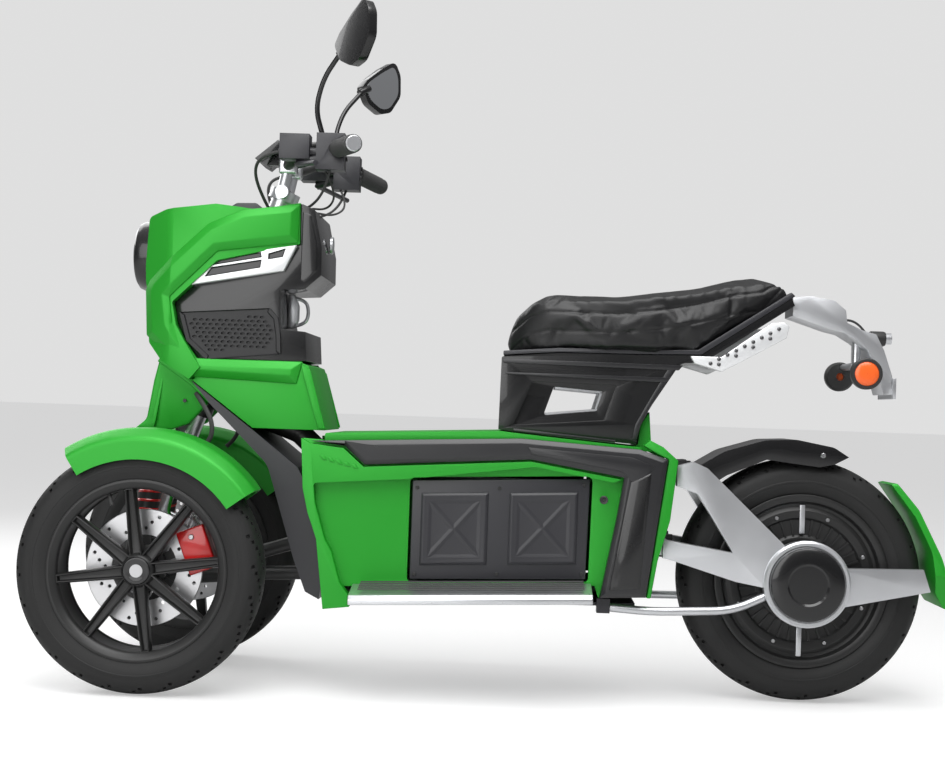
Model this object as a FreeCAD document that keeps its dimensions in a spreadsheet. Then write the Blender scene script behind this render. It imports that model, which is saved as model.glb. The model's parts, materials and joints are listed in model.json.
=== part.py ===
"""Electric three-wheel scooter with two leaning front wheels and a rear hub motor.

Frame: +X forward, +Y to the rider's left, +Z up, origin on the ground below the
middle of the bounding box. All sizes are millimetres and degrees.
"""
import FreeCAD, Part
import math
import os
import Sketcher

V = FreeCAD.Vector

DIMENSIONS = {
    "front_axle_x": 653,
    "front_axle_height": 230,
    "front_half_track": 220,
    "front_tyre_radius": 230,
    "front_tyre_width": 96,
    "wheelbase": 1249,
    "rear_tyre_radius": 237,
    "rear_tyre_width": 122,
    "rim_radius": 168,
    "rim_wall": 8,
    "rake": 20,
    "stem_x": 435,
    "stem_height": 1000,
    "stem_radius": 22,
    "head_tube_radius": 30,
    "kingpin_half_track": 145,
    "kingpin_radius": 12,
    "steering_arm": 70,
    "steering_arm_radius": 4.5,
    "running_gap": 0.05,
    "disc_radius": 110,
    "spoke_count": 8,
    "cowl_half_width": 146,
    "housing_half_width": 112,
    "leg_half_width": 116,
    "tunnel_half_width": 145,
    "skirt_inner": 130,
    "skirt_outer": 166,
    "trim_outer": 172,
    "door_inner": 138,
    "door_outer": 150,
    "deck_outer": 232,
    "post_half_width": 100,
    "seat_half_width": 140,
    "arm_inner": 78,
    "arm_outer": 114,
    "hub_cover_outer": 134,
    "hub_cover_radius": 72,
    "guard_half_width": 90,
    "bar_radius": 11,
    "mirror_turn": 40,
    "grip_radius": 17,
    "frame_tube": 22,
    "rail_tube": 14,
}

doc = FreeCAD.newDocument("ThreeWheelScooter")
sheet = doc.addObject("Spreadsheet::Sheet", "Dimensions")
parts = {}


def fill_sheet():
    """Give every driving dimension a cell of its own."""
    for row, (alias, value) in enumerate(DIMENSIONS.items(), start=1):
        sheet.set(f"A{row}", alias.replace("_", " "))
        sheet.set(f"B{row}", str(value))
        sheet.setAlias(f"B{row}", alias)
    doc.recompute()


def dim(alias):
    """Read a driving dimension back from the sheet."""
    return float(sheet.get(alias))


def cell(alias):
    """The expression that binds a property to a driving dimension."""
    return f"Dimensions.{alias}"


# ---------------------------------------------------------------- outlines

def rounded_corner(outline, index):
    """Start, middle and end of a corner; a sharp corner has all three equal."""
    here = outline[index]
    corner = V(here[0], here[1], 0)
    radius = here[2] if len(here) > 2 else 0
    if radius == 0:
        return corner, corner, corner, 0
    before = V(*outline[index - 1][:2], 0)
    after = V(*outline[(index + 1) % len(outline)][:2], 0)
    back = (before - corner).normalize()
    ahead = (after - corner).normalize()
    half_angle = back.getAngle(ahead) / 2
    reach = radius / math.tan(half_angle)
    towards_centre = (back + ahead).normalize()
    middle = corner + towards_centre * (radius / math.sin(half_angle) - radius)
    return corner + back * reach, middle, corner + ahead * reach, radius


def pin_point(sketch, geometry, end, point):
    """Fix one end of a line to its coordinates."""
    sketch.addConstraint(Sketcher.Constraint("DistanceX", -1, 1, geometry, end, point.x))
    sketch.addConstraint(Sketcher.Constraint("DistanceY", -1, 1, geometry, end, point.y))


def add_outline(sketch, outline):
    """Draw a closed outline of (x, y) or (x, y, corner radius) points."""
    corners = [rounded_corner(outline, i) for i in range(len(outline))]
    lines = []
    for i, corner in enumerate(corners):
        start = corner[2]
        end = corners[(i + 1) % len(corners)][0]
        line = sketch.addGeometry(Part.LineSegment(start, end))
        pin_point(sketch, line, 1, start)
        if corners[(i + 1) % len(corners)][3] > 0:
            pin_point(sketch, line, 2, end)
        lines.append(line)
    for i, corner in enumerate(corners):
        incoming = lines[i - 1]
        outgoing = lines[i]
        if corner[3] == 0:
            sketch.addConstraint(Sketcher.Constraint("Coincident", incoming, 2, outgoing, 1))
            continue
        arc = sketch.addGeometry(Part.Arc(corner[0], corner[1], corner[2]))
        forwards = sketch.getPoint(arc, 1).distanceToPoint(corner[0]) < 1e-6
        first, last = (1, 2) if forwards else (2, 1)
        sketch.addConstraint(Sketcher.Constraint("Coincident", incoming, 2, arc, first))
        sketch.addConstraint(Sketcher.Constraint("Coincident", outgoing, 1, arc, last))
        sketch.addConstraint(Sketcher.Constraint("Radius", arc, corner[3]))


def new_body(name):
    return doc.addObject("PartDesign::Body", name)


def sketch_on(body, role, offset="0"):
    """A sketch on one of the body's own origin planes, moved along its normal."""
    sketch = body.newObject("Sketcher::SketchObject", f"{body.Name}_sketch")
    plane = next(f for f in body.Origin.OriginFeatures if f.Role == role)
    sketch.AttachmentSupport = [(plane, "")]
    sketch.MapMode = "FlatFace"
    sketch.setExpression("AttachmentOffset.Base.z", offset)
    return sketch


def pad(body, role, outline, offset, length):
    """Extrude an outline along the plane's normal from its offset."""
    sketch = sketch_on(body, role, offset)
    add_outline(sketch, outline)
    feature = body.newObject("PartDesign::Pad", f"{body.Name}_pad")
    feature.Profile = sketch
    feature.setExpression("Length", length)
    return feature


def side_slab(body, outline, inner, outer):
    """Pad a side view (x, z) from y = inner to y = outer. The plane faces -Y."""
    return pad(body, "XZ_Plane", outline, f"-({outer})", f"({outer}) - ({inner})")


def front_slab(body, outline, rear, front):
    """Pad a front view (y, z) from x = rear to x = front."""
    return pad(body, "YZ_Plane", outline, rear, f"({front}) - ({rear})")


def plan_slab(body, outline, low, high):
    """Pad a plan view (x, y) from z = low to z = high."""
    return pad(body, "XY_Plane", outline, low, f"({high}) - ({low})")


def side_pocket(body, outline, inner, outer):
    """Cut a side view (x, z) out of a body from y = outer to y = inner."""
    doc.recompute()
    before = body.Shape.Volume
    sketch = sketch_on(body, "XZ_Plane", f"-({outer})")
    add_outline(sketch, outline)
    feature = body.newObject("PartDesign::Pocket", f"{body.Name}_pocket")
    feature.Profile = sketch
    feature.Reversed = True
    feature.setExpression("Length", f"({outer}) - ({inner})")
    doc.recompute()
    if body.Shape.Volume > before - 1:
        raise RuntimeError(f"pocket in {body.Name} cuts nothing")
    return feature


def symmetric_slab(name, outline, half_width):
    """A body that a side view makes, as wide each side of the middle plane."""
    body = new_body(name)
    side_slab(body, outline, f"-({half_width})", half_width)
    return body


def spin(body, outline):
    """Turn a section (y, radius) about the body's Y axis."""
    sketch = sketch_on(body, "YZ_Plane")
    add_outline(sketch, outline)
    feature = body.newObject("PartDesign::Revolution", f"{body.Name}_spin")
    feature.Profile = sketch
    feature.ReferenceAxis = (sketch, ["H_Axis"])
    feature.Angle = 360
    return feature


# ---------------------------------------------------------------- primitives

def strut(name, start, end, radius):
    """A round bar between two points, its radius an expression."""
    bar = doc.addObject("Part::Cylinder", name)
    bar.setExpression("Radius", radius)
    bar.Height = (end - start).Length
    bar.Placement = FreeCAD.Placement(start, FreeCAD.Rotation(V(0, 0, 1), end - start))
    return bar


def chain(name, points, radius):
    """Round bars from point to point, each bend closed by a slightly larger ball."""
    pieces = []
    for i in range(len(points) - 1):
        pieces.append(strut(f"{name}_{i}", points[i], points[i + 1], radius))
    for i, point in enumerate(points[1:-1]):
        ball = doc.addObject("Part::Sphere", f"{name}_bend_{i}")
        ball.setExpression("Radius", f"({radius}) * 1.04")
        ball.Placement.Base = point
        pieces.append(ball)
    return pieces


def bent_path(points):
    """Straight runs joined by tangent arcs, each as large as its two runs allow."""
    edges = []
    start = points[0]
    for i in range(1, len(points) - 1):
        corner = points[i]
        back = points[i - 1] - corner
        ahead = points[i + 1] - corner
        half_turn = (math.pi - back.getAngle(ahead)) / 2
        reach = 0.45 * min(back.Length, ahead.Length)
        radius = reach / math.tan(half_turn)
        into = corner + back.normalize() * reach
        out = corner + ahead.normalize() * reach
        towards_centre = (back + ahead).normalize()
        middle = corner + towards_centre * (radius / math.cos(half_turn) - radius)
        edges.append(Part.LineSegment(start, into).toShape())
        edges.append(Part.Arc(into, middle, out).toShape())
        start = out
    edges.append(Part.LineSegment(start, points[-1]).toShape())
    return Part.Wire(edges)


def bent_tube(name, points, radius):
    """A round bar along a bent path, its radius read from the sheet or a number."""
    path = bent_path(points)
    ring = Part.Wire(Part.makeCircle(radius, points[0], points[1] - points[0]))
    tube = doc.addObject("Part::Feature", name)
    tube.Shape = path.makePipeShell([ring], True, False)
    return tube


def block(name, low, high):
    """A plain box between two opposite corners."""
    box = doc.addObject("Part::Box", name)
    box.Length = high.x - low.x
    box.Width = high.y - low.y
    box.Height = high.z - low.z
    box.Placement.Base = low
    return box


def across(name, x, z, start, end, radius):
    """A round bar along Y."""
    return strut(name, V(x, start, z), V(x, end, z), radius)


def fuse(name, pieces):
    joined = doc.addObject("Part::MultiFuse", name)
    joined.Shapes = pieces
    joined.Refine = True
    return joined


def cut(name, base, tools):
    """Take one or more tools out of a base."""
    tool = tools[0] if len(tools) == 1 else fuse(f"{name}_tools", tools)
    result = doc.addObject("Part::Cut", name)
    result.Base = base
    result.Tool = tool
    result.Refine = True
    return result


def common(name, first, second):
    result = doc.addObject("Part::MultiCommon", name)
    result.Shapes = [first, second]
    result.Refine = True
    return result


def mirrored(name, source):
    """The same piece on the other side of the middle plane."""
    copy = doc.addObject("Part::Mirroring", name)
    copy.Source = source
    copy.Normal = V(0, 1, 0)
    return copy


def pair(name, source):
    """A piece and its mirror image in one sub-part."""
    both = doc.addObject("Part::Compound", name)
    both.Links = [source, mirrored(f"{name}_right", source)]
    return both


def keep(label, thing):
    """Register a finished sub-part under the name of its file."""
    thing.Label = label
    parts[label] = thing
    return thing


# ---------------------------------------------------------------- steering geometry

def axis_up():
    """Direction of the stem and of both kingpins."""
    rake = math.radians(dim("rake"))
    return V(-math.sin(rake), 0, math.cos(rake))


def arm_back():
    """Square to the stem, towards the rear."""
    rake = math.radians(dim("rake"))
    return V(-math.cos(rake), 0, -math.sin(rake))


def stem_point(height):
    lean = math.tan(math.radians(dim("rake")))
    return V(dim("stem_x") + (dim("stem_height") - height) * lean, 0, height)


def kingpin_point(along, side):
    """A point on a kingpin's axis, measured from the height of the wheel's axle."""
    base = V(dim("front_axle_x"), side * dim("kingpin_half_track"), dim("front_axle_height"))
    return base + axis_up() * along


def wheel_centre(side):
    return V(dim("front_axle_x"), side * dim("front_half_track"), dim("front_axle_height"))


def rear_centre():
    return V(dim("front_axle_x") - dim("wheelbase"), 0, dim("rear_tyre_radius"))


def side_name(side):
    return "left" if side > 0 else "right"


KNUCKLE_ARM_ALONG = 82


def pitman_root():
    """The point of the stem's axis that is level with the arms of the knuckles."""
    top = stem_point(dim("stem_height"))
    drop = (kingpin_point(KNUCKLE_ARM_ALONG, 1) - top).dot(axis_up())
    return top + axis_up() * drop


def pitman_end():
    return pitman_root() + arm_back() * dim("steering_arm")


def knuckle_arm_end(side):
    return kingpin_point(KNUCKLE_ARM_ALONG, side) + arm_back() * dim("steering_arm")


def stem_passage(name):
    """The clear hole that the covers leave round the stem and its tube."""
    return strut(name, stem_point(480), stem_point(960), f"{cell('head_tube_radius')} + 4")


# ---------------------------------------------------------------- frame and front end

def make_main_frame():
    """Head tube, backbone, keel, floor rails and the plate that carries the swingarm."""
    tube = cell("frame_tube")
    rail = cell("rail_tube")
    head = strut("head_tube_outer", stem_point(520), stem_point(860), cell("head_tube_radius"))
    pieces = [head]
    backbone = [stem_point(560), V(400, 0, 490), V(345, 0, 440), V(305, 0, 330), V(290, 0, 205)]
    pieces += chain("backbone", backbone, tube)
    keel = [V(305, 0, 300), V(480, 0, 245), V(640, 0, 264), V(668, 0, 188), V(480, 0, 205), V(300, 0, 215)]
    pieces += chain("keel", keel, "14")
    pieces.append(across("shock_bar", 656, 505, -75, 75, "11"))
    pieces.append(strut("shock_post", V(656, 0, 505), V(620, 0, 552), "10"))
    for side in (1, -1):
        name = side_name(side)
        pieces.append(strut(f"rail_{name}", V(290, side * 70, 203), V(-280, side * 70, 212), rail))
    pieces.append(across("front_cross", 290, 203, -118, 118, rail))
    pieces.append(across("deck_cross_front", 180, 200, -128, 128, "10"))
    pieces.append(across("deck_cross_rear", -120, 208, -128, 128, "10"))
    pieces.append(block("rear_plate", V(-286, -110, 200), V(-274, 110, 468)))
    for side in (1, -1):
        low = 34 if side > 0 else -50
        for level, height in (("upper", 440), ("lower", 295)):
            reach = -376 if level == "upper" else -345
            lug = block(f"lug_{level}_{side_name(side)}", V(reach, low, height - 22), V(-280, low + 16, height + 22))
            pieces.append(lug)
    solid = fuse("main_frame_solid", pieces)
    bore = strut("head_tube_bore", stem_point(500), stem_point(880), f"{cell('stem_radius')}")
    pivot = across("pivot_bore", -324, 295, -60, 60, "16")
    bush = across("bush_bore", -360, 440, -60, 60, "12")
    keep("main_frame", cut("main_frame", solid, [bore, pivot, bush]))


def make_tilt_linkage():
    """Two cross arms and the kingpin sleeves at their ends, square as when parked."""
    pieces = []
    bores = []
    half = dim("kingpin_half_track") - 15
    for name, along in (("lower", -30), ("upper", 45)):
        level = kingpin_point(along, 1)
        pieces.append(across(f"cross_arm_{name}", level.x, level.z, -half, half, "13"))
    for side in (1, -1):
        lug = strut(f"shock_lug_{side_name(side)}", V(663, side * 88, 202), V(704, side * 88, 202), "10")
        pieces.append(lug)
    for side in (1, -1):
        name = side_name(side)
        low = kingpin_point(-45, side)
        high = kingpin_point(75, side)
        pieces.append(strut(f"sleeve_{name}", low, high, "20"))
        bores.append(strut(f"sleeve_bore_{name}", low, high, f"{cell('kingpin_radius')} + {cell('running_gap')}"))
    solid = fuse("tilt_linkage_solid", pieces)
    keep("tilt_linkage", cut("tilt_linkage", solid, bores + [parts["main_frame"]]))


def make_front_shocks():
    """One damper each side, from the lower cross arm to the bar under the head tube."""
    low = V(704, 88, 213)
    high = V(656, 62, 493)
    run = high - low
    pieces = [
        strut("shock_rod", low, high, "8"),
        strut("shock_can", low + run * 0.1, low + run * 0.85, "22"),
    ]
    keep("front_shocks", pair("front_shocks", fuse("front_shock", pieces)))


def make_knuckle(side):
    """Kingpin, upright, stub axle, steering arm and the caliper's bracket."""
    name = side_name(side)
    up = axis_up()
    turn = FreeCAD.Rotation(V(0, 0, 1), up)
    pin_radius = cell("kingpin_radius")
    web_inner = dim("kingpin_half_track") + 22
    pieces = [strut(f"kingpin_{name}", kingpin_point(-57, side), kingpin_point(87, side), pin_radius)]
    for end, along in (("bottom", -57), ("top", 75.5)):
        pieces.append(strut(f"cheek_{end}_{name}", kingpin_point(along, side), kingpin_point(along + 11.5, side), "21"))
        bridge = doc.addObject("Part::Box", f"bridge_{end}_{name}")
        bridge.Length = 40
        bridge.Width = 32
        bridge.Height = 11.5
        corner = kingpin_point(along, side) + turn.multVec(V(-20, 0 if side > 0 else -32, 0))
        bridge.Placement = FreeCAD.Placement(corner, turn)
        pieces.append(bridge)
    web = doc.addObject("Part::Box", f"web_{name}")
    web.Length = 48
    web.Width = 10
    web.Height = 144
    web_y = 22 if side > 0 else -32
    web.Placement = FreeCAD.Placement(kingpin_point(-57, side) + turn.multVec(V(-24, web_y, 0)), turn)
    pieces.append(web)
    hub = wheel_centre(side)
    pieces.append(across(f"stub_{name}", hub.x, hub.z, side * (web_inner + 3), side * 262, "12"))
    arm_root = kingpin_point(KNUCKLE_ARM_ALONG, side)
    arm_tip = knuckle_arm_end(side)
    pieces.append(strut(f"arm_{name}", arm_root, arm_tip, cell("steering_arm_radius")))
    pieces.append(strut(f"arm_eye_{name}", arm_tip - up * 6, arm_tip + up * 6, "11"))
    bracket_start = V(hub.x - 8, side * 172, hub.z + 4)
    bracket_end = V(hub.x - 96, side * 172, hub.z + 36)
    pieces.append(strut(f"caliper_bracket_{name}", bracket_start, bracket_end, "6.5"))
    solid = fuse(f"knuckle_{name}", pieces)
    keep(f"knuckle_{name}", solid)


def make_brake_caliper(side):
    """A block that straddles the disc behind the hub."""
    name = side_name(side)
    hub = wheel_centre(side)
    disc_y = side * 198
    inner = disc_y - 19
    shell = doc.addObject("Part::Box", f"caliper_block_{name}")
    shell.Length = 54
    shell.Width = 38
    shell.Height = 84
    turn = FreeCAD.Rotation(V(0, 1, 0), -159 + 180)
    corner = V(hub.x, inner, hub.z) + turn.multVec(V(-134, 0, -42))
    shell.Placement = FreeCAD.Placement(corner, turn)
    slot = across(f"caliper_slot_{name}", hub.x, hub.z, disc_y - 7, disc_y + 7, f"{cell('disc_radius')} + 5")
    keep(f"brake_caliper_{name}", cut(f"brake_caliper_{name}", shell, [slot]))


def make_front_mudguard(side):
    """A channel over the tyre, hung from the knuckle by a strap."""
    name = side_name(side)
    hub = wheel_centre(side)
    body = new_body(f"mudguard_shell_{name}")
    section = [
        (-60, 205), (-60, 245, 14), (-34, 263, 20), (34, 263, 20), (60, 245, 14), (60, 205),
        (54, 205), (54, 241, 10), (32, 257, 16), (-32, 257, 16), (-54, 241, 10), (-54, 205),
    ]
    turned = spin(body, section)
    turned.Angle = 87
    body.Placement = FreeCAD.Placement(hub, FreeCAD.Rotation(V(0, 1, 0), -54))
    strap = strut(f"mudguard_strap_{name}", V(620, side * 163, 338), V(600, side * 163, 450), "3")
    foot = strut(f"mudguard_foot_{name}", V(620, side * 163, 338), kingpin_point(100, side) + V(0, side * 12, 0), "3")
    keep(f"front_mudguard_{name}", fuse(f"front_mudguard_{name}", [body, strap, foot]))


def make_tie_rod(side):
    """From the arm under the stem to the arm on the knuckle."""
    name = side_name(side)
    up = axis_up()
    lift = 6.4 if side > 0 else -16.4
    inner = pitman_end() + up * lift
    outer = knuckle_arm_end(side) + up * lift
    pieces = [
        strut(f"rod_eye_inner_{name}", inner, inner + up * 10, "10"),
        strut(f"rod_eye_outer_{name}", outer, outer + up * 10, "10"),
        strut(f"rod_{name}", inner + up * 5, outer + up * 5, "4.5"),
    ]
    keep(f"tie_rod_{name}", fuse(f"tie_rod_{name}", pieces))


# ---------------------------------------------------------------- wheels

def tyre_section(half_width, radius, bead_half):
    """Tread with round shoulders on straight side walls, as (y, radius)."""
    rim = dim("rim_radius")
    right = [
        (bead_half, rim - 9.5), (bead_half, rim + 2), (half_width - 1, rim + 20, 10),
        (half_width, rim + 40, 16), (half_width * 0.68, radius - 5, 22), (half_width * 0.3, radius, 60),
    ]
    left = [(-point[0],) + tuple(point[1:]) for point in reversed(right)]
    return right + left


def make_front_tyre(side):
    name = side_name(side)
    body = new_body(f"front_tyre_{name}")
    spin(body, tyre_section(dim("front_tyre_width") / 2, dim("front_tyre_radius"), 37.5))
    body.Placement.Base = wheel_centre(side)
    keep(f"front_tyre_{name}", body)


def rim_section(half_width, rim, wall):
    """A flanged barrel, as (y, radius)."""
    lip = 4
    return [
        (-half_width, rim - wall - 10), (-half_width, rim), (-half_width + lip, rim),
        (-half_width + lip, rim - 9.8), (half_width - lip, rim - 9.8), (half_width - lip, rim),
        (half_width, rim), (half_width, rim - wall - 10),
    ]


def make_front_rim(side):
    """Hub, eight spokes on the outer face and the barrel."""
    name = side_name(side)
    body = new_body(f"front_rim_{name}")
    bore = dim("kingpin_radius") + dim("running_gap")
    hub = [(-20, bore), (-20, 45), (-14, 45), (-12, 34), (38, 34), (38, bore)]
    spin(body, [(side * point[0], point[1]) for point in hub])
    spoke = [(-11, 30), (-8, 152), (8, 152), (11, 30)]
    inner, outer = ("14", "34") if side > 0 else ("-34", "-14")
    feature = side_slab(body, spoke, inner, outer)
    doc.recompute()
    ring = body.newObject("PartDesign::PolarPattern", f"spokes_{name}")
    ring.Originals = [feature]
    ring.Axis = (feature.Profile[0], ["N_Axis"])
    ring.Angle = 360
    ring.setExpression("Occurrences", cell("spoke_count"))
    body.Tip = ring
    doc.recompute()
    spin(body, rim_section(42, dim("rim_radius"), dim("rim_wall")))
    body.Placement.Base = wheel_centre(side)
    keep(f"front_rim_{name}", body)


def make_brake_disc(side):
    name = side_name(side)
    body = new_body(f"brake_disc_{name}")
    disc = dim("disc_radius")
    spin(body, [(side * -24, 30), (side * -24, disc), (side * -20, disc), (side * -20, 30)])
    body.Placement.Base = wheel_centre(side)
    keep(f"brake_disc_{name}", body)


def make_rear_wheel():
    """A wide tyre on a rim that carries the hub motor."""
    tyre = new_body("rear_tyre")
    spin(tyre, tyre_section(dim("rear_tyre_width") / 2, dim("rear_tyre_radius"), 49.5))
    tyre.Placement.Base = rear_centre()
    keep("rear_tyre", tyre)
    wheel = new_body("rear_hub_wheel")
    rim = dim("rim_radius")
    right = [
        (14, rim - 26), (14, rim - 18), (54, rim - 14), (54, rim), (50, rim), (50, rim - 9.8),
    ]
    motor = [(48, 14 + dim("running_gap")), (48, 70), (44, rim - 30)]
    half = motor + right
    spin(wheel, half + [(-point[0], point[1]) for point in reversed(half)])
    wheel.Placement.Base = rear_centre()
    keep("rear_hub_wheel", wheel)


# ---------------------------------------------------------------- front bodywork

COWL_SIDE = [
    (397, 934), (480, 918), (558, 926), (657, 914, 30), (694, 900, 12), (699, 807), (697, 775),
    (692, 746, 8), (685, 656, 10), (656, 621, 10), (598, 587), (578, 611), (612, 663, 20),
    (628, 691), (637, 735, 8), (552, 817, 12), (396, 855),
]
COWL_PLAN = [(390, 128), (540, 146), (640, 140), (712, 96), (712, -96), (640, -140), (540, -146), (390, -128)]


def make_headlight():
    """A domed round lamp in a deep ring."""
    body = new_body("headlight")
    spin(body, [(0, 0.01), (0, 70), (50, 70, 6), (66, 50, 20), (75, 0.01)])
    body.Placement = FreeCAD.Placement(V(670, 0, 833), FreeCAD.Rotation(V(0, 0, 1), -90))
    doc.recompute()
    keep("headlight", body)


def make_nose_cowl():
    """The green nose: a deep top and front that turn back on themselves at the sides."""
    side = symmetric_slab("cowl_side_view", COWL_SIDE, cell("cowl_half_width"))
    plan = new_body("cowl_plan_view")
    plan_slab(plan, COWL_PLAN, "560", "960")
    shell = common("cowl_block", side, plan)
    keep("nose_cowl", cut("nose_cowl", shell, [stem_passage("cowl_passage"), parts["headlight"]]))


def make_dash_housing():
    """Black box behind the grilles, with the dash on its rear."""
    outline = [
        (576, 613), (610, 663), (626, 691), (635, 735), (551, 815), (398, 853), (398, 935, 4),
        (370, 923, 6), (354, 850), (353, 796), (383, 769), (434, 766), (430, 690), (380, 686), (376, 630),
    ]
    block_body = symmetric_slab("dash_block", outline, cell("housing_half_width"))
    keep("dash_housing", cut("dash_housing", block_body, [stem_passage("dash_passage"), parts["nose_cowl"]]))


def make_grilles():
    outline = [(624, 716), (449, 729, 12), (427, 678), (425, 637, 6), (568, 626), (608, 661)]
    body = new_body("grille_near")
    side_slab(body, outline, cell("housing_half_width"), f"{cell('housing_half_width')} + 10")
    keep("grilles", pair("grilles", body))


def make_side_lights():
    outline = [(596, 765), (550, 812), (400, 849), (419, 804)]
    body = new_body("side_light_near")
    side_slab(body, outline, cell("housing_half_width"), f"{cell('housing_half_width')} + 16")
    keep("side_lights", pair("side_lights", body))


def make_leg_shield():
    """Green cover behind the wheels: side walls, top and rear, open towards the liner."""
    outline = [(595, 585), (575, 610), (385, 626, 8), (370, 620), (361, 594), (335, 497), (475, 497)]
    hollow = [(640, 604), (568, 601), (392, 615), (379, 608), (371, 592), (347, 480), (500, 480)]
    half = cell("leg_half_width")
    shell = symmetric_slab("leg_shield_shell", outline, half)
    side_pocket(shell, hollow, f"-({half} - 12)", f"{half} - 12")
    keep("leg_shield", cut("leg_shield", shell, [stem_passage("leg_passage")]))


def make_nose_fairing():
    """Green skirt below the nose, open behind and below."""
    outline = [
        (664, 626), (675, 583), (689, 507, 20), (712, 488), (638, 488), (605, 500), (568, 541),
        (602, 581), (657, 616),
    ]
    view = symmetric_slab("fairing_side_view", outline, "104")
    hollow = [(652, 640), (663, 583), (678, 500), (684, 478), (560, 478), (560, 640)]
    side_pocket(view, hollow, "-76", "76")
    front = new_body("fairing_front_view")
    front_slab(front, [(-102, 640), (102, 640), (84, 480), (-84, 480)], "540", "730")
    keep("nose_fairing", common("nose_fairing", view, front))


def make_front_liner():
    """Black wheel arch between the tyres and the leg shield."""
    outline = [
        (560, 541), (597, 584), (472, 491), (385, 424), (352, 362), (331, 200), (335, 172),
        (362, 186), (386, 246), (444, 428, 60),
    ]
    slab = symmetric_slab("liner_slab", outline, f"{cell('leg_half_width')} - 4")
    tools = [stem_passage("liner_passage")]
    keep("front_liner", cut("front_liner", slab, tools + [parts["main_frame"]]))


# ---------------------------------------------------------------- middle bodywork

def make_tunnel_cover():
    """Green top of the floor tunnel with the fin behind the seat post."""
    outline = [
        (330, 478), (330, 493, 4), (-3, 508, 40), (-82, 501), (-272, 486), (-272, 472),
        (-82, 487), (-3, 494),
    ]
    body = symmetric_slab("tunnel_cover", outline, cell("tunnel_half_width"))
    fin = [(-255, 476), (-262, 487), (-270, 489), (-275, 529), (-291, 554), (-296, 494), (-302, 478)]
    side_slab(body, fin, "-70", "70")
    keep("tunnel_cover", body)


DOOR_OPENING = [(164, 415, 12), (-182, 429, 12), (-179, 228, 8), (164, 216, 8)]


def make_side_skirts():
    """Green side: a flat wall with the door's opening and a raised border round it."""
    wall = [
        (372, 482), (334, 480), (330, 475), (-3, 490), (-82, 483), (-270, 468), (-264, 206),
        (-199, 200), (-192, 222), (288, 203), (272, 188), (270, 167), (320, 161), (337, 293),
        (355, 342), (366, 388),
    ]
    border = [
        (372, 482), (355, 473), (291, 466), (252, 432), (-64, 453), (-236, 425), (-220, 419),
        (-144, 431), (-74, 443), (166, 412), (346, 398, 6), (342, 361), (321, 293, 12), (308, 271),
        (290, 212), (272, 188), (270, 167), (320, 161), (337, 293), (355, 342), (366, 388),
    ]
    body = new_body("side_skirt_near")
    side_slab(body, wall, cell("skirt_inner"), f"{cell('skirt_inner')} + 14")
    side_slab(body, border, f"{cell('skirt_inner')} + 10", cell("skirt_outer"))
    side_pocket(body, DOOR_OPENING, f"{cell('skirt_inner')} - 5", f"{cell('skirt_outer')} + 5")
    keep("side_skirts", pair("side_skirts", body))


def make_side_trims():
    """Dark band along the top that turns down into the rear side panel."""
    outline = [
        (353, 478), (-44, 496), (-268, 483), (-321, 466), (-287, 206), (-201, 202), (-228, 351),
        (-240, 429), (-64, 457), (250, 436), (289, 470),
    ]
    body = new_body("side_trim_near")
    side_slab(body, outline, f"{cell('tunnel_half_width')} + 0.5", cell("trim_outer"))
    keep("side_trims", pair("side_trims", body))


def make_rear_edge_trims():
    """Green strips that close the rear corners."""
    outline = [
        (-275, 490), (-287, 501, 4), (-312, 489), (-341, 464), (-329, 351), (-308, 275), (-297, 204),
        (-289, 204), (-323, 466), (-300, 476),
    ]
    body = new_body("rear_edge_near")
    side_slab(body, outline, "116", "160")
    keep("rear_edge_trims", pair("rear_edge_trims", body))


def make_footboards():
    """Sloping treads outside the skirts, on the floor's own small rise to the rear."""
    body = new_body("footboard_near")
    section = [(146.5, 0), (146.5, 30), (226, 18), (232, 10), (232, 0)]
    front_slab(body, section, "0", "452")
    body.Placement = FreeCAD.Placement(V(-186, 0, 197), FreeCAD.Rotation(V(0, 1, 0), 2.3))
    keep("footboards", pair("footboards", body))


def make_belly_pan():
    pan = symmetric_slab("belly_pan_plate", [(300, 176), (-270, 184), (-270, 190), (300, 182)], "127")
    pieces = [pan]
    for side in (1, -1):
        low = 120 if side > 0 else -150
        pieces.append(block(f"stay_block_{side_name(side)}", V(-221.5, low, 172), V(-197, low + 30, 199)))
    keep("belly_pan", fuse("belly_pan", pieces))


def make_battery_pack():
    """The battery as one plain block."""
    keep("battery_pack", block("battery_pack", V(-172, -118, 232), V(154, 118, 408)))


def make_battery_door(side):
    """A flat lid with two raised pads, hinged along its lower edge."""
    name = side_name(side)
    body = new_body(f"battery_door_{name}")
    panel = [(159, 410, 8), (-177, 424, 8), (-174, 234, 8), (159, 222, 8)]
    pads = [
        [(141, 386, 8), (14, 391, 8), (14, 255, 8), (141, 249, 8)],
        [(-26, 392, 8), (-155, 398, 8), (-155, 262, 8), (-26, 257, 8)],
    ]
    inner = cell("door_inner")
    outer = cell("door_outer")
    if side > 0:
        side_slab(body, panel, inner, outer)
    else:
        side_slab(body, panel, f"-({outer})", f"-({inner})")
    for outline in pads:
        if side > 0:
            side_slab(body, outline, outer, f"{outer} + 6")
        else:
            side_slab(body, outline, f"-({outer}) - 6", f"-({outer})")
    keep(f"battery_door_{name}", body)


# ---------------------------------------------------------------- seat and tail

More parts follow.
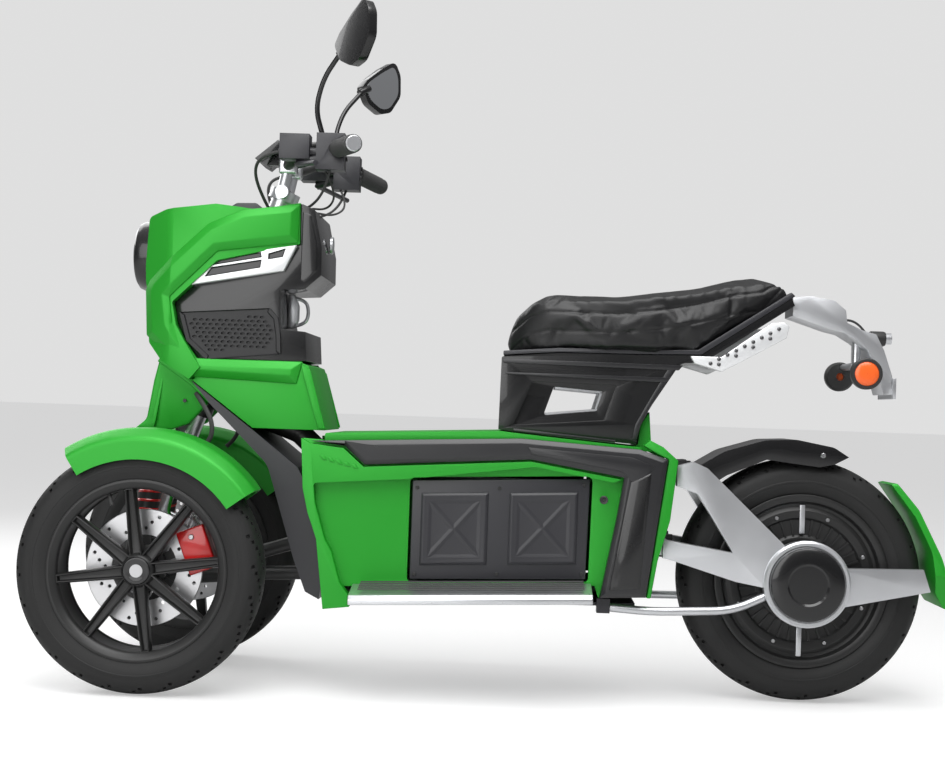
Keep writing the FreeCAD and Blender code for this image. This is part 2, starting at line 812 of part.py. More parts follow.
def make_seat_post():
    """Black pillar with a window, and the beam under the rear of the seat."""
    outline = [
        (-1, 652, 4), (1, 511), (-82, 504), (-265, 491), (-271, 529), (-293, 568), (-345, 650, 20),
        (-388, 652, 10), (-560, 768), (-553, 784), (-377, 667), (-264, 664), (-112, 663),
    ]
    body = symmetric_slab("seat_post", outline, cell("post_half_width"))
    window = [(-85, 541, 4), (-104, 598, 4), (-199, 592, 4), (-188, 553, 4)]
    side_pocket(body, window, "-120", "120")
    recess = [(-27, 520, 4), (-61, 606, 4), (-226, 604, 4), (-203, 535, 4)]
    side_pocket(body, recess, f"{cell('post_half_width')} - 18", "120")
    side_pocket(body, recess, "-120", f"18 - {cell('post_half_width')}")
    keep("seat_post", body)


def make_seat_cushion():
    """Plain closed form of the seat: its side view cut to its plan."""
    outline = [
        (-2, 656), (-3, 690, 10), (-18, 732, 14), (-52, 762, 20), (-90, 771, 30), (-223, 770, 200),
        (-374, 794, 200), (-449, 815, 100), (-515, 825, 20), (-548, 820, 12), (-563, 797, 6),
        (-554, 790), (-378, 673), (-264, 669), (-112, 668),
    ]
    view = symmetric_slab("seat_side_view", outline, cell("seat_half_width"))
    plan = [
        (-2, 60, 30), (-60, 110, 60), (-200, 138, 100), (-300, 138, 80), (-450, 105, 60), (-566, 85, 30),
        (-566, -85, 30), (-450, -105, 60), (-300, -138, 80), (-200, -138, 100), (-60, -110, 60), (-2, -60, 30),
    ]
    above = new_body("seat_plan_view")
    plan_slab(above, plan, "640", "840")
    keep("seat_cushion", common("seat_cushion", view, above))


def make_tail_light_strips():
    outline = [
        (-362, 664), (-370, 650), (-422, 636), (-457, 655), (-543, 704), (-548, 727), (-538, 734),
        (-514, 732), (-421, 664),
    ]
    body = new_body("tail_strip_near")
    side_slab(body, outline, "100", "118")
    keep("tail_light_strips", pair("tail_light_strips", body))


def make_tail_bracket():
    """Silver bracket behind the seat with a bar for the side lamps and a plate tab."""
    outline = [
        (-566, 788), (-566, 752), (-640, 728), (-667, 722), (-694, 706), (-714, 690), (-735, 640),
        (-746, 604), (-762, 604), (-762, 640), (-745, 690), (-729, 721), (-703, 728), (-672, 742),
        (-669, 766, 6), (-646, 785, 10), (-600, 792),
    ]
    body = symmetric_slab("tail_bracket_plate", outline, "45")
    tab = block("plate_tab", V(-766, -62, 596), V(-760, 62, 636))
    holes = [strut(f"plate_hole_{i}", V(-780, y, 614), V(-740, y, 614), "3.25") for i, y in ((0, -52), (1, 52))]
    bar = across("signal_bar", -700, 660, -112, 112, "7")
    drop = strut("signal_drop", V(-700, 0, 660), V(-700, 0, 715), "9")
    lamp = strut("tail_lamp_tube", V(-722, 0, 714), V(-768, 0, 716), "11")
    solid = fuse("tail_bracket_solid", [body, tab, bar, drop, lamp])
    keep("tail_bracket", cut("tail_bracket", solid, holes))


def make_rear_signals():
    disc = across("signal_near", -694, 641, 112, 134, "30")
    keep("rear_signals", pair("rear_signals", disc))


# ---------------------------------------------------------------- rear end

UPPER_ARM = [(-345, 414), (-345, 453), (-376, 462, 10), (-403, 450, 20), (-562, 300), (-530, 250), (-455, 291), (-385, 401)]
LOWER_ARM = [(-322, 311), (-455, 291), (-540, 262), (-520, 226), (-462, 236), (-347, 270), (-322, 276)]
TAIL_ARM = [(-650, 268), (-818, 272), (-832, 230), (-655, 192)]


def make_swingarm():
    """Forked arms each side, the axle, the pivot, the lower stay and the arms of the tail guard."""
    centre = rear_centre()
    near = new_body("swingarm_near")
    inner = cell("arm_inner")
    outer = cell("arm_outer")
    side_slab(near, UPPER_ARM, f"{inner} + 4", f"{outer} - 6")
    side_slab(near, LOWER_ARM, f"{inner} + 4", f"{outer} - 6")
    pieces = [near]
    pieces.append(across("hub_plate", centre.x, centre.z, dim("arm_inner"), dim("arm_outer"), "80"))
    tail = new_body("tail_arm_near")
    side_slab(tail, TAIL_ARM, cell("guard_half_width"), f"{cell('guard_half_width')} + 14")
    pieces.append(tail)
    stay = [V(-222, 138, 182), V(-300, 137, 177), V(-456, 118, 182), V(-530, 98, 214)]
    pieces.append(bent_tube("stay", stay, 8))
    one_side = fuse("swingarm_one_side", pieces)
    other_side = mirrored("swingarm_other_side", one_side)
    axle = across("rear_axle", centre.x, centre.z, -dim("arm_outer"), dim("arm_outer"), "14")
    reach = dim("arm_inner") + 10
    pivot = across("swing_pivot", -324, 295, -reach, reach, "15.95")
    bridge = across("swing_bridge", -360, 440, -reach, reach, "11.95")
    keep("swingarm", fuse("swingarm", [one_side, other_side, axle, pivot, bridge]))


def make_hub_covers():
    centre = rear_centre()
    cap = across("hub_cover_near", centre.x, centre.z, dim("arm_outer"), dim("hub_cover_outer"), cell("hub_cover_radius"))
    keep("hub_covers", pair("hub_covers", cap))


def make_rear_fender():
    """Black fender close over the tyre, carried by the bridge between the arms."""
    outline = [
        (-372, 436), (-384, 450), (-439, 484, 80), (-517, 508, 80), (-576, 511, 60), (-649, 498, 30), (-678, 480),
        (-650, 465), (-621, 459), (-520, 470), (-444, 437), (-395, 404),
    ]
    centre = rear_centre()
    slab = symmetric_slab("fender_slab", outline, "72")
    room = across("fender_room", centre.x, centre.z, -66, 66, f"{cell('rear_tyre_radius')} + 8")
    bridge = across("fender_bridge_room", -360, 440, -90, 90, "12.5")
    keep("rear_fender", cut("rear_fender", slab, [room, bridge, parts["main_frame"]]))


def make_tail_guard():
    """Green blade behind the rear tyre."""
    outline = [
        (-764, 430), (-775, 433, 4), (-816, 383, 60), (-861, 287, 120), (-869, 235, 30), (-883, 190),
        (-866, 196), (-848, 226), (-840, 303, 80), (-808, 371, 60),
    ]
    side = symmetric_slab("guard_side_view", outline, cell("guard_half_width"))
    rear = new_body("guard_rear_view")
    front_slab(rear, [(-58, 436, 12), (58, 436, 12), (90, 260), (64, 186, 20), (-64, 186, 20), (-90, 260)], "-900", "-740")
    keep("tail_guard", common("tail_guard", side, rear))


# ---------------------------------------------------------------- steering group

BAR_POINTS = [
    V(283, 262, 1027), V(328, 146, 1036), V(386, 98, 1048), V(437, 60, 1018), V(437, -60, 1018),
    V(386, -98, 1048), V(328, -146, 1036), V(283, -262, 1027),
]


def make_steering_stem():
    """Stem, clamp block and the arm at its foot."""
    up = axis_up()
    foot = pitman_root()
    tip = pitman_end()
    radius = f"{cell('stem_radius')} - {cell('running_gap')}"
    pieces = [
        strut("stem_tube", foot - up * 14, stem_point(966), radius),
        strut("stem_head", stem_point(952), stem_point(972), "30"),
        strut("pitman", foot, tip, cell("steering_arm_radius")),
        strut("pitman_eye", tip - up * 6, tip + up * 6, "11"),
        strut("riser_left", stem_point(966) + V(0, 32, 0), V(437, 32, 1018), "12"),
        strut("riser_right", stem_point(966) + V(0, -32, 0), V(437, -32, 1018), "12"),
        across("riser_base", stem_point(966).x, 966, -44, 44, "13"),
    ]
    solid = fuse("steering_stem_solid", pieces)
    keep("steering_stem", cut("steering_stem", solid, [parts["handlebar"]]))


def make_handlebar():
    keep("handlebar", bent_tube("handlebar", BAR_POINTS, dim("bar_radius")))


def make_grips():
    run = BAR_POINTS[0] - BAR_POINTS[1]
    grip = strut("grip_solid", BAR_POINTS[1] + run * 0.12, BAR_POINTS[0] + run * 0.03, cell("grip_radius"))
    keep("grips", pair("grips", cut("grip_near", grip, [parts["handlebar"]])))


def make_hand_controls():
    """Switch pods, brake levers and their master cylinders, as one piece each side."""
    pieces = [
        block("pod_near", V(312, 112, 996), V(366, 152, 1066)),
        strut("lever_pivot", V(345, 132, 1024), V(404, 138, 1006), "9"),
        strut("lever", V(404, 138, 1006), V(352, 250, 992), "5"),
        block("reservoir", V(379, 120, 1014), V(436, 158, 1062)),
        strut("reservoir_arm", V(350, 134, 1030), V(392, 136, 1032), "8"),
    ]
    pod = fuse("controls_solid", pieces)
    keep("hand_controls", pair("hand_controls", cut("controls_near", pod, [parts["handlebar"], parts["grips"]])))


def make_display():
    body = new_body("display_case")
    side_slab(body, [(500, 1028), (455, 1066), (447, 1056), (486, 1020)], "-62", "62")
    foot = block("display_foot", V(446, -16, 1022), V(484, 16, 1044))
    solid = fuse("display_solid", [body, foot])
    keep("display", cut("display", solid, [parts["handlebar"], parts["steering_stem"]]))


def make_mirrors():
    """Stalk and round-cornered head each side, set well out over the grips."""
    stalk_points = [V(356, 134, 1060), V(371, 146, 1112), V(356, 160, 1168), V(318, 182, 1219)]
    stalk = bent_tube("mirror_stalk", stalk_points, 5)
    joint = strut("mirror_joint", V(325, 176, 1212), V(308, 196, 1227), "8")
    head = new_body("mirror_head")
    outline = [
        (-62, -12, 8), (-46, 8, 12), (-6, 38, 40), (34, 62, 14), (52, 34, 30), (54, -12, 30), (25, -52, 24),
        (-4, -60, 20), (-42, -44, 24),
    ]
    front_slab(head, outline, "0", "18")
    head.Placement = FreeCAD.Placement(V(280, 225, 1237), FreeCAD.Rotation(V(0, 0, 1), dim("mirror_turn")))
    whole = fuse("mirror_solid", [stalk, joint, head])
    keep("mirrors", pair("mirrors", cut("mirror_near", whole, [parts["hand_controls"]])))


# ---------------------------------------------------------------- build, check, write

def build():
    fill_sheet()
    make_main_frame()
    make_tilt_linkage()
    make_front_shocks()
    for side in (1, -1):
        make_knuckle(side)
        make_brake_caliper(side)
        make_front_mudguard(side)
        make_tie_rod(side)
        make_front_tyre(side)
        make_front_rim(side)
        make_brake_disc(side)
        make_battery_door(side)
    make_rear_wheel()
    make_headlight()
    make_nose_cowl()
    make_dash_housing()
    make_grilles()
    make_side_lights()
    make_leg_shield()
    make_nose_fairing()
    make_front_liner()
    make_tunnel_cover()
    make_side_skirts()
    make_side_trims()
    make_rear_edge_trims()
    make_footboards()
    make_belly_pan()
    make_battery_pack()
    make_seat_post()
    make_seat_cushion()
    make_tail_light_strips()
    make_tail_bracket()
    make_rear_signals()
    make_swingarm()
    make_hub_covers()
    make_rear_fender()
    make_tail_guard()
    make_handlebar()
    make_steering_stem()
    make_grips()
    make_hand_controls()
    make_display()
    make_mirrors()
    doc.recompute()


def check():
    """Stop before anything is written if any object or sub-part is unsound."""
    for thing in doc.Objects:
        if "Invalid" in thing.State or "Error" in thing.State:
            raise RuntimeError(f"{thing.Name} failed: {thing.State}")
    for label, thing in parts.items():
        if thing.Shape.isNull() or not thing.Shape.isValid():
            raise RuntimeError(f"{label} has no sound shape")


def write():
    os.makedirs("parts", exist_ok=True)
    for label, thing in parts.items():
        thing.Shape.exportStep(f"parts/{label}.step")


build()
check()
write()
print(len(parts), "sub-parts written")
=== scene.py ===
"""Looks of the electric three-wheel scooter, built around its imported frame."""

import json
import math

import bmesh
import bpy
from bpy.props import FloatProperty, FloatVectorProperty, IntProperty, PointerProperty
from mathutils import Matrix, Vector


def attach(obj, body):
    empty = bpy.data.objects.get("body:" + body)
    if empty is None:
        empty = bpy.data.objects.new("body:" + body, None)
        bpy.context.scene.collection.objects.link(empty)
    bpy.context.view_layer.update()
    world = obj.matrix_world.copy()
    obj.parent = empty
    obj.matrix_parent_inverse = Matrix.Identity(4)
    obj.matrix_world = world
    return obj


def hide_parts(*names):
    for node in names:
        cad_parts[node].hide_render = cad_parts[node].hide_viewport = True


bl_info = {
    "name": "Three-wheel scooter",
    "version": (1, 0, 0),
    "blender": (4, 5, 0),
    "location": "3D View > Sidebar > Scooter",
    "description": "Panels, wheels, seat and controls of an electric three-wheel scooter",
    "category": "Add Mesh",
}

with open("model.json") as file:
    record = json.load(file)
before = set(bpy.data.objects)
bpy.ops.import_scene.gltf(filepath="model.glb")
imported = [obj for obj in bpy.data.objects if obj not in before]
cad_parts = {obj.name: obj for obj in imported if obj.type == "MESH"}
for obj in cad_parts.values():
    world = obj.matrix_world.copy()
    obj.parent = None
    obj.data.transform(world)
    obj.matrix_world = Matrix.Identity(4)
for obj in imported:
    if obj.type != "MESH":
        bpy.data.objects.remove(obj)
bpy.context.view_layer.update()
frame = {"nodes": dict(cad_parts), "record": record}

MM = 0.001


FLOOR_GLOW = 0.40


# ------------------------------------------------------------------ settings

class ScooterPaint(bpy.types.PropertyGroup):
    """Colours a user would change."""
    body_green: FloatVectorProperty(
        name="Body green", description="Base colour of the painted panels",
        default=(0.004, 0.46, 0.008), size=3, subtype="COLOR", min=0, max=1)
    plastic_black: FloatVectorProperty(
        name="Plastic black", description="Base colour of the moulded black parts",
        default=(0.0065, 0.0065, 0.007), size=3, subtype="COLOR", min=0, max=1)
    lamp_orange: FloatVectorProperty(
        name="Lamp orange", description="Colour of the round side lamps",
        default=(0.75, 0.10, 0.012), size=3, subtype="COLOR", min=0, max=1)
    caliper_red: FloatVectorProperty(
        name="Caliper red", description="Paint of the front brake calipers",
        default=(0.55, 0.008, 0.008), size=3, subtype="COLOR", min=0, max=1)


class ScooterShape(bpy.types.PropertyGroup):
    """Sizes and counts a user would change."""
    spoke_count: IntProperty(
        name="Spokes", description="Spokes of each front wheel", default=8, min=3, max=16)
    tread_depth: FloatProperty(
        name="Tread depth", description="Depth of the grooves in the tyres",
        default=0.0038, min=0.001, max=0.01, precision=4, unit="LENGTH")
    seat_pressure: FloatProperty(
        name="Seat pressure", description="Cloth pressure that fills the seat", default=4.0, min=0, max=10)
    seat_swell: FloatProperty(
        name="Seat swell", description="The furthest that the seat's cover may move out",
        default=0.008, min=0, max=0.03, precision=4, unit="LENGTH")
    grip_ring_count: IntProperty(
        name="Grip rings", description="Raised rings on each handgrip", default=16, min=1, max=17)


class ScooterStage(bpy.types.PropertyGroup):
    """The camera and the light."""
    camera_place: FloatVectorProperty(
        name="Camera place", description="Where the camera stands",
        default=(-0.0475, 3.0, 0.546), size=3, subtype="TRANSLATION", unit="LENGTH")
    camera_turn: FloatVectorProperty(
        name="Camera turn", description="The camera's XYZ Euler angles",
        default=tuple(math.radians(a) for a in (-88.849, -178.0, 1.963)),
        size=3, subtype="EULER", unit="ROTATION")
    focal_length: FloatProperty(
        name="Focal length", description="Millimetres on a 36 mm wide sensor",
        default=57.26, min=20, max=200)
    key_power: FloatProperty(
        name="Key power", description="Strength of the large overhead lamp in watts",
        default=135, min=0, max=1000)
    sky_strength: FloatProperty(
        name="Sky strength", description="Strength of the even light from all round",
        default=0.42, min=0, max=2)


def paint_settings():
    return bpy.context.scene.scooter_paint


def shape_settings():
    return bpy.context.scene.scooter_shape


def stage_settings():
    return bpy.context.scene.scooter_stage


# ------------------------------------------------------------------ node groups

def new_group(name, inputs, outputs):
    """An empty shader group with named sockets: (name, type, default)."""
    group = bpy.data.node_groups.new(name, "ShaderNodeTree")
    for label, kind, default in inputs:
        socket = group.interface.new_socket(label, in_out="INPUT", socket_type=kind)
        if default is not None:
            socket.default_value = default
    for label, kind in outputs:
        group.interface.new_socket(label, in_out="OUTPUT", socket_type=kind)
    enter = group.nodes.new("NodeGroupInput")
    leave = group.nodes.new("NodeGroupOutput")
    return group, enter, leave


def object_noise(group, scale, detail):
    """Noise on Object coordinates inside a group; scale comes from a socket."""
    place = group.nodes.new("ShaderNodeTexCoord")
    noise = group.nodes.new("ShaderNodeTexNoise")
    noise.inputs["Detail"].default_value = detail
    group.links.new(place.outputs["Object"], noise.inputs["Vector"])
    group.links.new(scale, noise.inputs["Scale"])
    return noise.outputs["Fac"]


def math_node(tree, operation, *values):
    """A maths node whose inputs are sockets or numbers."""
    node = tree.nodes.new("ShaderNodeMath")
    node.operation = operation
    for socket, value in zip(node.inputs, values):
        if isinstance(value, (int, float)):
            socket.default_value = value
        else:
            tree.links.new(value, socket)
    return node.outputs[0]


def grain_group():
    """Fine moulded grain and slow patches: a colour, a roughness and a height."""
    if "grain" in bpy.data.node_groups:
        return bpy.data.node_groups["grain"]
    group, enter, leave = new_group(
        "grain",
        [("Color", "NodeSocketColor", (0.5, 0.5, 0.5, 1)), ("Rough", "NodeSocketFloat", 0.5),
         ("Fine Scale", "NodeSocketFloat", 400), ("Patch Scale", "NodeSocketFloat", 9),
         ("Spread", "NodeSocketFloat", 0.12)],
        [("Color", "NodeSocketColor"), ("Roughness", "NodeSocketFloat"), ("Height", "NodeSocketFloat")])
    fine = object_noise(group, enter.outputs["Fine Scale"], 3)
    patch = object_noise(group, enter.outputs["Patch Scale"], 4)
    swing = math_node(group, "MULTIPLY", math_node(group, "SUBTRACT", patch, 0.5), enter.outputs["Spread"])
    rough = math_node(group, "ADD", enter.outputs["Rough"], swing)
    rough.node.use_clamp = True
    value = math_node(group, "MULTIPLY_ADD", swing, 2.0, 1.0)
    tint = group.nodes.new("ShaderNodeHueSaturation")
    group.links.new(enter.outputs["Color"], tint.inputs["Color"])
    group.links.new(value, tint.inputs["Value"])
    group.links.new(tint.outputs["Color"], leave.inputs["Color"])
    group.links.new(rough, leave.inputs["Roughness"])
    group.links.new(fine, leave.inputs["Height"])
    return group


# ------------------------------------------------------------------ materials

def surface(name, color, rough, metallic=0.0, fine=400, patch=9, spread=0.12, bump=0.05, coat=0.0,
            coat_rough=0.05, depth=0.0004, shine=0.4):
    """A finish whose colour, roughness and relief vary over the surface."""
    if name in bpy.data.materials:
        return bpy.data.materials[name]
    material = bpy.data.materials.new(name)
    material.use_nodes = True
    tree = material.node_tree
    shader = tree.nodes["Principled BSDF"]
    shader.inputs["Metallic"].default_value = metallic
    shader.inputs["Coat Weight"].default_value = coat
    shader.inputs["Coat Roughness"].default_value = coat_rough
    shader.inputs["Specular IOR Level"].default_value = shine
    grain = tree.nodes.new("ShaderNodeGroup")
    grain.node_tree = grain_group()
    grain.inputs["Color"].default_value = (*color, 1)
    grain.inputs["Rough"].default_value = rough
    grain.inputs["Fine Scale"].default_value = fine
    grain.inputs["Patch Scale"].default_value = patch
    grain.inputs["Spread"].default_value = spread
    bump_node = tree.nodes.new("ShaderNodeBump")
    bump_node.inputs["Strength"].default_value = bump
    bump_node.inputs["Distance"].default_value = depth
    tree.links.new(grain.outputs["Color"], shader.inputs["Base Color"])
    tree.links.new(grain.outputs["Roughness"], shader.inputs["Roughness"])
    tree.links.new(grain.outputs["Height"], bump_node.inputs["Height"])
    tree.links.new(bump_node.outputs["Normal"], shader.inputs["Normal"])
    return material


def green_paint():
    return surface("green_paint", paint_settings().body_green, 0.36, metallic=0.08, fine=2600,
                   patch=3, spread=0.05, bump=0.03, coat=0.8)


def black_plastic():
    return surface("black_plastic", paint_settings().plastic_black, 0.46, fine=900, bump=0.16)


def gloss_black():
    return surface("gloss_black", (0.0045, 0.0045, 0.005), 0.26, fine=300, bump=0.02, coat=0.45)


def trim_grey():
    return surface("trim_grey", (0.013, 0.013, 0.0145), 0.36, fine=700, bump=0.06, coat=0.3, coat_rough=0.2)


def frame_black():
    return surface("frame_black", (0.008, 0.008, 0.0085), 0.42, metallic=0.2, fine=600, bump=0.1)


def wheel_black():
    return surface("wheel_black", (0.005, 0.005, 0.0055), 0.30, metallic=0.2, fine=500, bump=0.05, coat=0.3)


def satin_aluminium():
    return surface("satin_aluminium", (0.62, 0.63, 0.65), 0.33, metallic=0.9, fine=1200, bump=0.06)


def bright_steel():
    return surface("bright_steel", (0.45, 0.45, 0.46), 0.28, metallic=1.0, fine=800, bump=0.05)


def tyre_rubber():
    return surface("tyre_rubber", (0.009, 0.009, 0.009), 0.62, fine=1100, patch=14, spread=0.2, bump=0.25)


def seat_leather():
    return surface("seat_leather", (0.0075, 0.0075, 0.008), 0.42, fine=520, patch=12, spread=0.2, bump=0.35)


def lamp_white():
    return surface("lamp_white", (0.72, 0.73, 0.74), 0.25, metallic=0.3, fine=200, bump=0.02, coat=0.5)


def orange_lens():
    return surface("orange_lens", paint_settings().lamp_orange, 0.28, fine=260, bump=0.3, coat=0.8)


def red_paint():
    return surface("red_paint", paint_settings().caliper_red, 0.3, fine=500, bump=0.06, coat=0.7)


def grille_plastic():
    return surface("grille_plastic", (0.011, 0.011, 0.012), 0.44, fine=800, bump=0.1)


def dark_lens():
    return surface(
        "dark_lens", (0.03, 0.03, 0.033), 0.12, metallic=0.5, fine=180, patch=20, bump=0.05, coat=1.0)


def brushed_disc():
    return surface("brushed_disc", (0.55, 0.55, 0.56), 0.30, metallic=1.0, fine=1500, bump=0.08)


def mirror_glass():
    return surface(
        "mirror_glass", (0.80, 0.82, 0.84), 0.04, metallic=1.0, fine=4, patch=2, spread=0.02, bump=0.0)


def grip_rubber():
    return surface("grip_rubber", (0.014, 0.014, 0.014), 0.6, fine=700, bump=0.3)


FINISHES = {
    "green_paint": green_paint, "black_plastic": black_plastic, "dark_trim": trim_grey,
    "frame_black": frame_black, "wheel_black": wheel_black, "silver": satin_aluminium,
    "steel": bright_steel, "tyre": tyre_rubber, "leather": seat_leather, "lamp_silver": lamp_white,
    "lens_black": gloss_black, "orange_lens": orange_lens, "grip_rubber": grip_rubber,
    "caliper_red": red_paint,
}


def give(piece, material):
    """The piece's only material."""
    piece.data.materials.clear()
    piece.data.materials.append(material)


# ------------------------------------------------------------------ modelling helpers

def only(piece):
    """Select one object and make it active."""
    active = bpy.context.view_layer.objects.active
    if active and active.mode != "OBJECT":
        bpy.ops.object.mode_set(mode="OBJECT")
    bpy.ops.object.select_all(action="DESELECT")
    piece.select_set(True)
    bpy.context.view_layer.objects.active = piece


def edit(piece, mode="VERT"):
    """Enter edit mode with nothing selected."""
    only(piece)
    bpy.ops.object.mode_set(mode="EDIT")
    bpy.ops.mesh.select_mode(type=mode)
    bpy.ops.mesh.select_all(action="DESELECT")


def edit_all(piece, mode="VERT"):
    """Enter edit mode with everything selected."""
    edit(piece, mode)
    bpy.ops.mesh.select_all(action="SELECT")


def leave():
    bpy.ops.object.mode_set(mode="OBJECT")


def pick_faces(piece, test):
    """In edit mode, select the faces whose middle and normal pass the test."""
    bpy.ops.mesh.select_mode(type="FACE")
    mesh = bmesh.from_edit_mesh(piece.data)
    for face in mesh.faces:
        face.select_set(bool(test(face.calc_center_median(), face.normal)))
    mesh.select_flush_mode()
    bmesh.update_edit_mesh(piece.data)


def pick_edges(piece, test):
    """In edit mode, select the edges whose two ends pass the test."""
    bpy.ops.mesh.select_mode(type="EDGE")
    mesh = bmesh.from_edit_mesh(piece.data)
    for edge in mesh.edges:
        edge.select_set(bool(test(edge.verts[0].co, edge.verts[1].co)))
    mesh.select_flush_mode()
    bmesh.update_edit_mesh(piece.data)


def trace(name, points, closed=True):
    """Draw a line of vertices through the points, by extruding one after another, and fill it."""
    bpy.ops.object.select_all(action="DESELECT")
    bpy.ops.mesh.primitive_plane_add(size=0.001, location=points[0])
    piece = bpy.context.object
    piece.name = name
    bpy.ops.object.transform_apply(location=True, rotation=True, scale=True)
    bpy.ops.object.mode_set(mode="EDIT")
    bpy.ops.mesh.select_mode(type="VERT")
    bpy.ops.mesh.select_all(action="SELECT")
    bpy.ops.mesh.merge(type="CENTER")
    path = [Vector(point) for point in points]
    if closed:
        path.append(path[0])
    for start, end in zip(path, path[1:]):
        bpy.ops.mesh.extrude_region_move(TRANSFORM_OT_translate={"value": end - start})
    bpy.ops.mesh.select_all(action="SELECT")
    bpy.ops.mesh.remove_doubles(threshold=1e-6)
    if closed:
        bpy.ops.mesh.edge_face_add()
    leave()
    return piece


def faces_out(side):
    """A test for faces that look to one side: 1 for the left, -1 for the right."""
    return lambda middle, normal: normal.y * side > 0.9


def side_points(outline, across):
    """An outline in the side view, in millimetres, as points at one distance from the middle."""
    return [(x * MM, across * MM, z * MM) for x, z in outline]


def outward(piece):
    """Point every face outwards."""
    edit_all(piece)
    bpy.ops.mesh.remove_doubles(threshold=1e-6)
    bpy.ops.mesh.normals_make_consistent(inside=False)
    leave()


def slab(name, outline, near, far):
    """A side-view outline extruded across, from near to far in millimetres."""
    piece = trace(name, side_points(outline, near))
    edit_all(piece, "FACE")
    bpy.ops.mesh.extrude_region_move(TRANSFORM_OT_translate={"value": (0, (far - near) * MM, 0)})
    leave()
    outward(piece)
    return piece


def extrude_shape(name, points, depth):
    """A closed outline anywhere in space, extruded by a vector; both in metres."""
    piece = trace(name, points)
    edit_all(piece, "FACE")
    bpy.ops.mesh.extrude_region_move(TRANSFORM_OT_translate={"value": depth})
    leave()
    outward(piece)
    return piece


def raise_faces(piece, test, thickness, height):
    """Inset the faces that pass the test and lift them; both in millimetres."""
    edit(piece, "FACE")
    pick_faces(piece, test)
    bpy.ops.mesh.inset(thickness=thickness * MM, depth=height * MM, use_even_offset=True)
    leave()


def apply_modifiers(piece):
    only(piece)
    for modifier in list(piece.modifiers):
        bpy.ops.object.modifier_apply(modifier=modifier.name)


def soften(piece, width, segments=2, angle=28):
    """Round the edges sharper than the angle; the width is in millimetres."""
    bevel = piece.modifiers.new("rounding", "BEVEL")
    bevel.width = width * MM
    bevel.segments = segments
    bevel.limit_method = "ANGLE"
    bevel.angle_limit = math.radians(angle)
    bevel.use_clamp_overlap = True
    bevel.harden_normals = False
    apply_modifiers(piece)


def lathe(name, profile, centre, steps=64, axis="Y"):
    """Spin a closed profile of (along, radius) in millimetres about an axis through the centre."""
    middle = Vector(centre)
    if axis == "Y":
        points = [middle + Vector((0, along * MM, radius * MM)) for along, radius in profile]
        turn = (0, 1, 0)
    else:
        points = [middle + Vector((along * MM, 0, radius * MM)) for along, radius in profile]
        turn = (1, 0, 0)
    piece = trace(name, points)
    edit_all(piece)
    bpy.ops.mesh.delete(type="ONLY_FACE")
    bpy.ops.mesh.select_all(action="SELECT")
    bpy.ops.mesh.spin(steps=steps, angle=math.tau, center=middle, axis=turn)
    leave()
    outward(piece)
    return piece


def rod(name, start, end, radius, sides=24):
    """A round bar between two points in millimetres, with its ends chamfered."""
    first = Vector(start) * MM
    last = Vector(end) * MM
    run = last - first
    bpy.ops.object.select_all(action="DESELECT")
    bpy.ops.mesh.primitive_cylinder_add(vertices=sides, radius=radius * MM, depth=run.length)
    piece = bpy.context.object
    piece.name = name
    piece.rotation_euler = run.to_track_quat("Z", "Y").to_euler()
    piece.location = (first + last) / 2
    bpy.ops.object.transform_apply(location=True, rotation=True, scale=True)
    way = run.normalized()
    edit(piece, "FACE")
    pick_faces(piece, lambda middle, normal: abs(normal.dot(way)) > 0.9)
    lip = min(radius * 0.18, 1.6)
    bpy.ops.mesh.inset(thickness=lip * MM, depth=lip * MM, use_individual=True)
    leave()
    return piece


def tube(name, points, radius, sides=8):
    """A round hose along a smooth line near the points, in millimetres."""
    line = bpy.data.curves.new(name, "CURVE")
    line.dimensions = "3D"
    spline = line.splines.new("NURBS")
    spline.points.add(len(points) - 1)
    for target, point in zip(spline.points, points):
        target.co = (*(Vector(point) * MM), 1)
    spline.order_u = 3
    spline.use_endpoint_u = True
    line.resolution_u = 8
    line.bevel_depth = radius * MM
    line.bevel_resolution = max(1, sides // 4)
    line.use_fill_caps = True
    piece = bpy.data.objects.new(name, line)
    bpy.context.scene.collection.objects.link(piece)
    only(piece)
    bpy.ops.object.convert(target="MESH")
    piece = bpy.context.object
    outward(piece)
    return piece


def brick(name, low, high):
    """A block between two corners in millimetres, drawn and extruded."""
    corners = [(low[0], low[2]), (high[0], low[2]), (high[0], high[2]), (low[0], high[2])]
    return slab(name, corners, low[1], high[1])


def merge(name, pieces):
    """Join several objects into one."""
    only(pieces[0])
    for piece in pieces[1:]:
        piece.select_set(True)
    if len(pieces) > 1:
        bpy.ops.object.join()
    result = bpy.context.view_layer.objects.active
    result.name = name
    return result


def copy_of(piece, name):
    twin = bpy.data.objects.new(name, piece.data.copy())
    bpy.context.scene.collection.objects.link(twin)
    return twin


def mirrored(piece, name):
    """A copy on the other side of the middle plane."""
    twin = copy_of(piece, name)
    edit_all(twin)
    bpy.ops.transform.resize(value=(1, -1, 1), center_override=(0, 0, 0))
    bpy.ops.mesh.flip_normals()
    leave()
    return twin


def both_sides(name, piece):
    """The piece and its mirror image, as one object."""
    return merge(name, [piece, mirrored(piece, name + "_other")])


def around(piece, count, centre, axis="Y", first=0.0):
    """Repeat a piece round an axis; the first one is turned by some degrees."""
    copies = []
    step = math.tau / count
    for index in range(count):
        twin = copy_of(piece, f"{piece.name}_{index}")
        turn = Matrix.Rotation(math.radians(first) + index * step, 4, axis)
        place = Matrix.Translation(centre)
        twin.matrix_world = place @ turn @ place.inverted()
        only(twin)
        bpy.ops.object.transform_apply(location=True, rotation=True, scale=True)
        copies.append(twin)
    name = piece.name
    bpy.data.objects.remove(piece)
    return merge(name, copies)


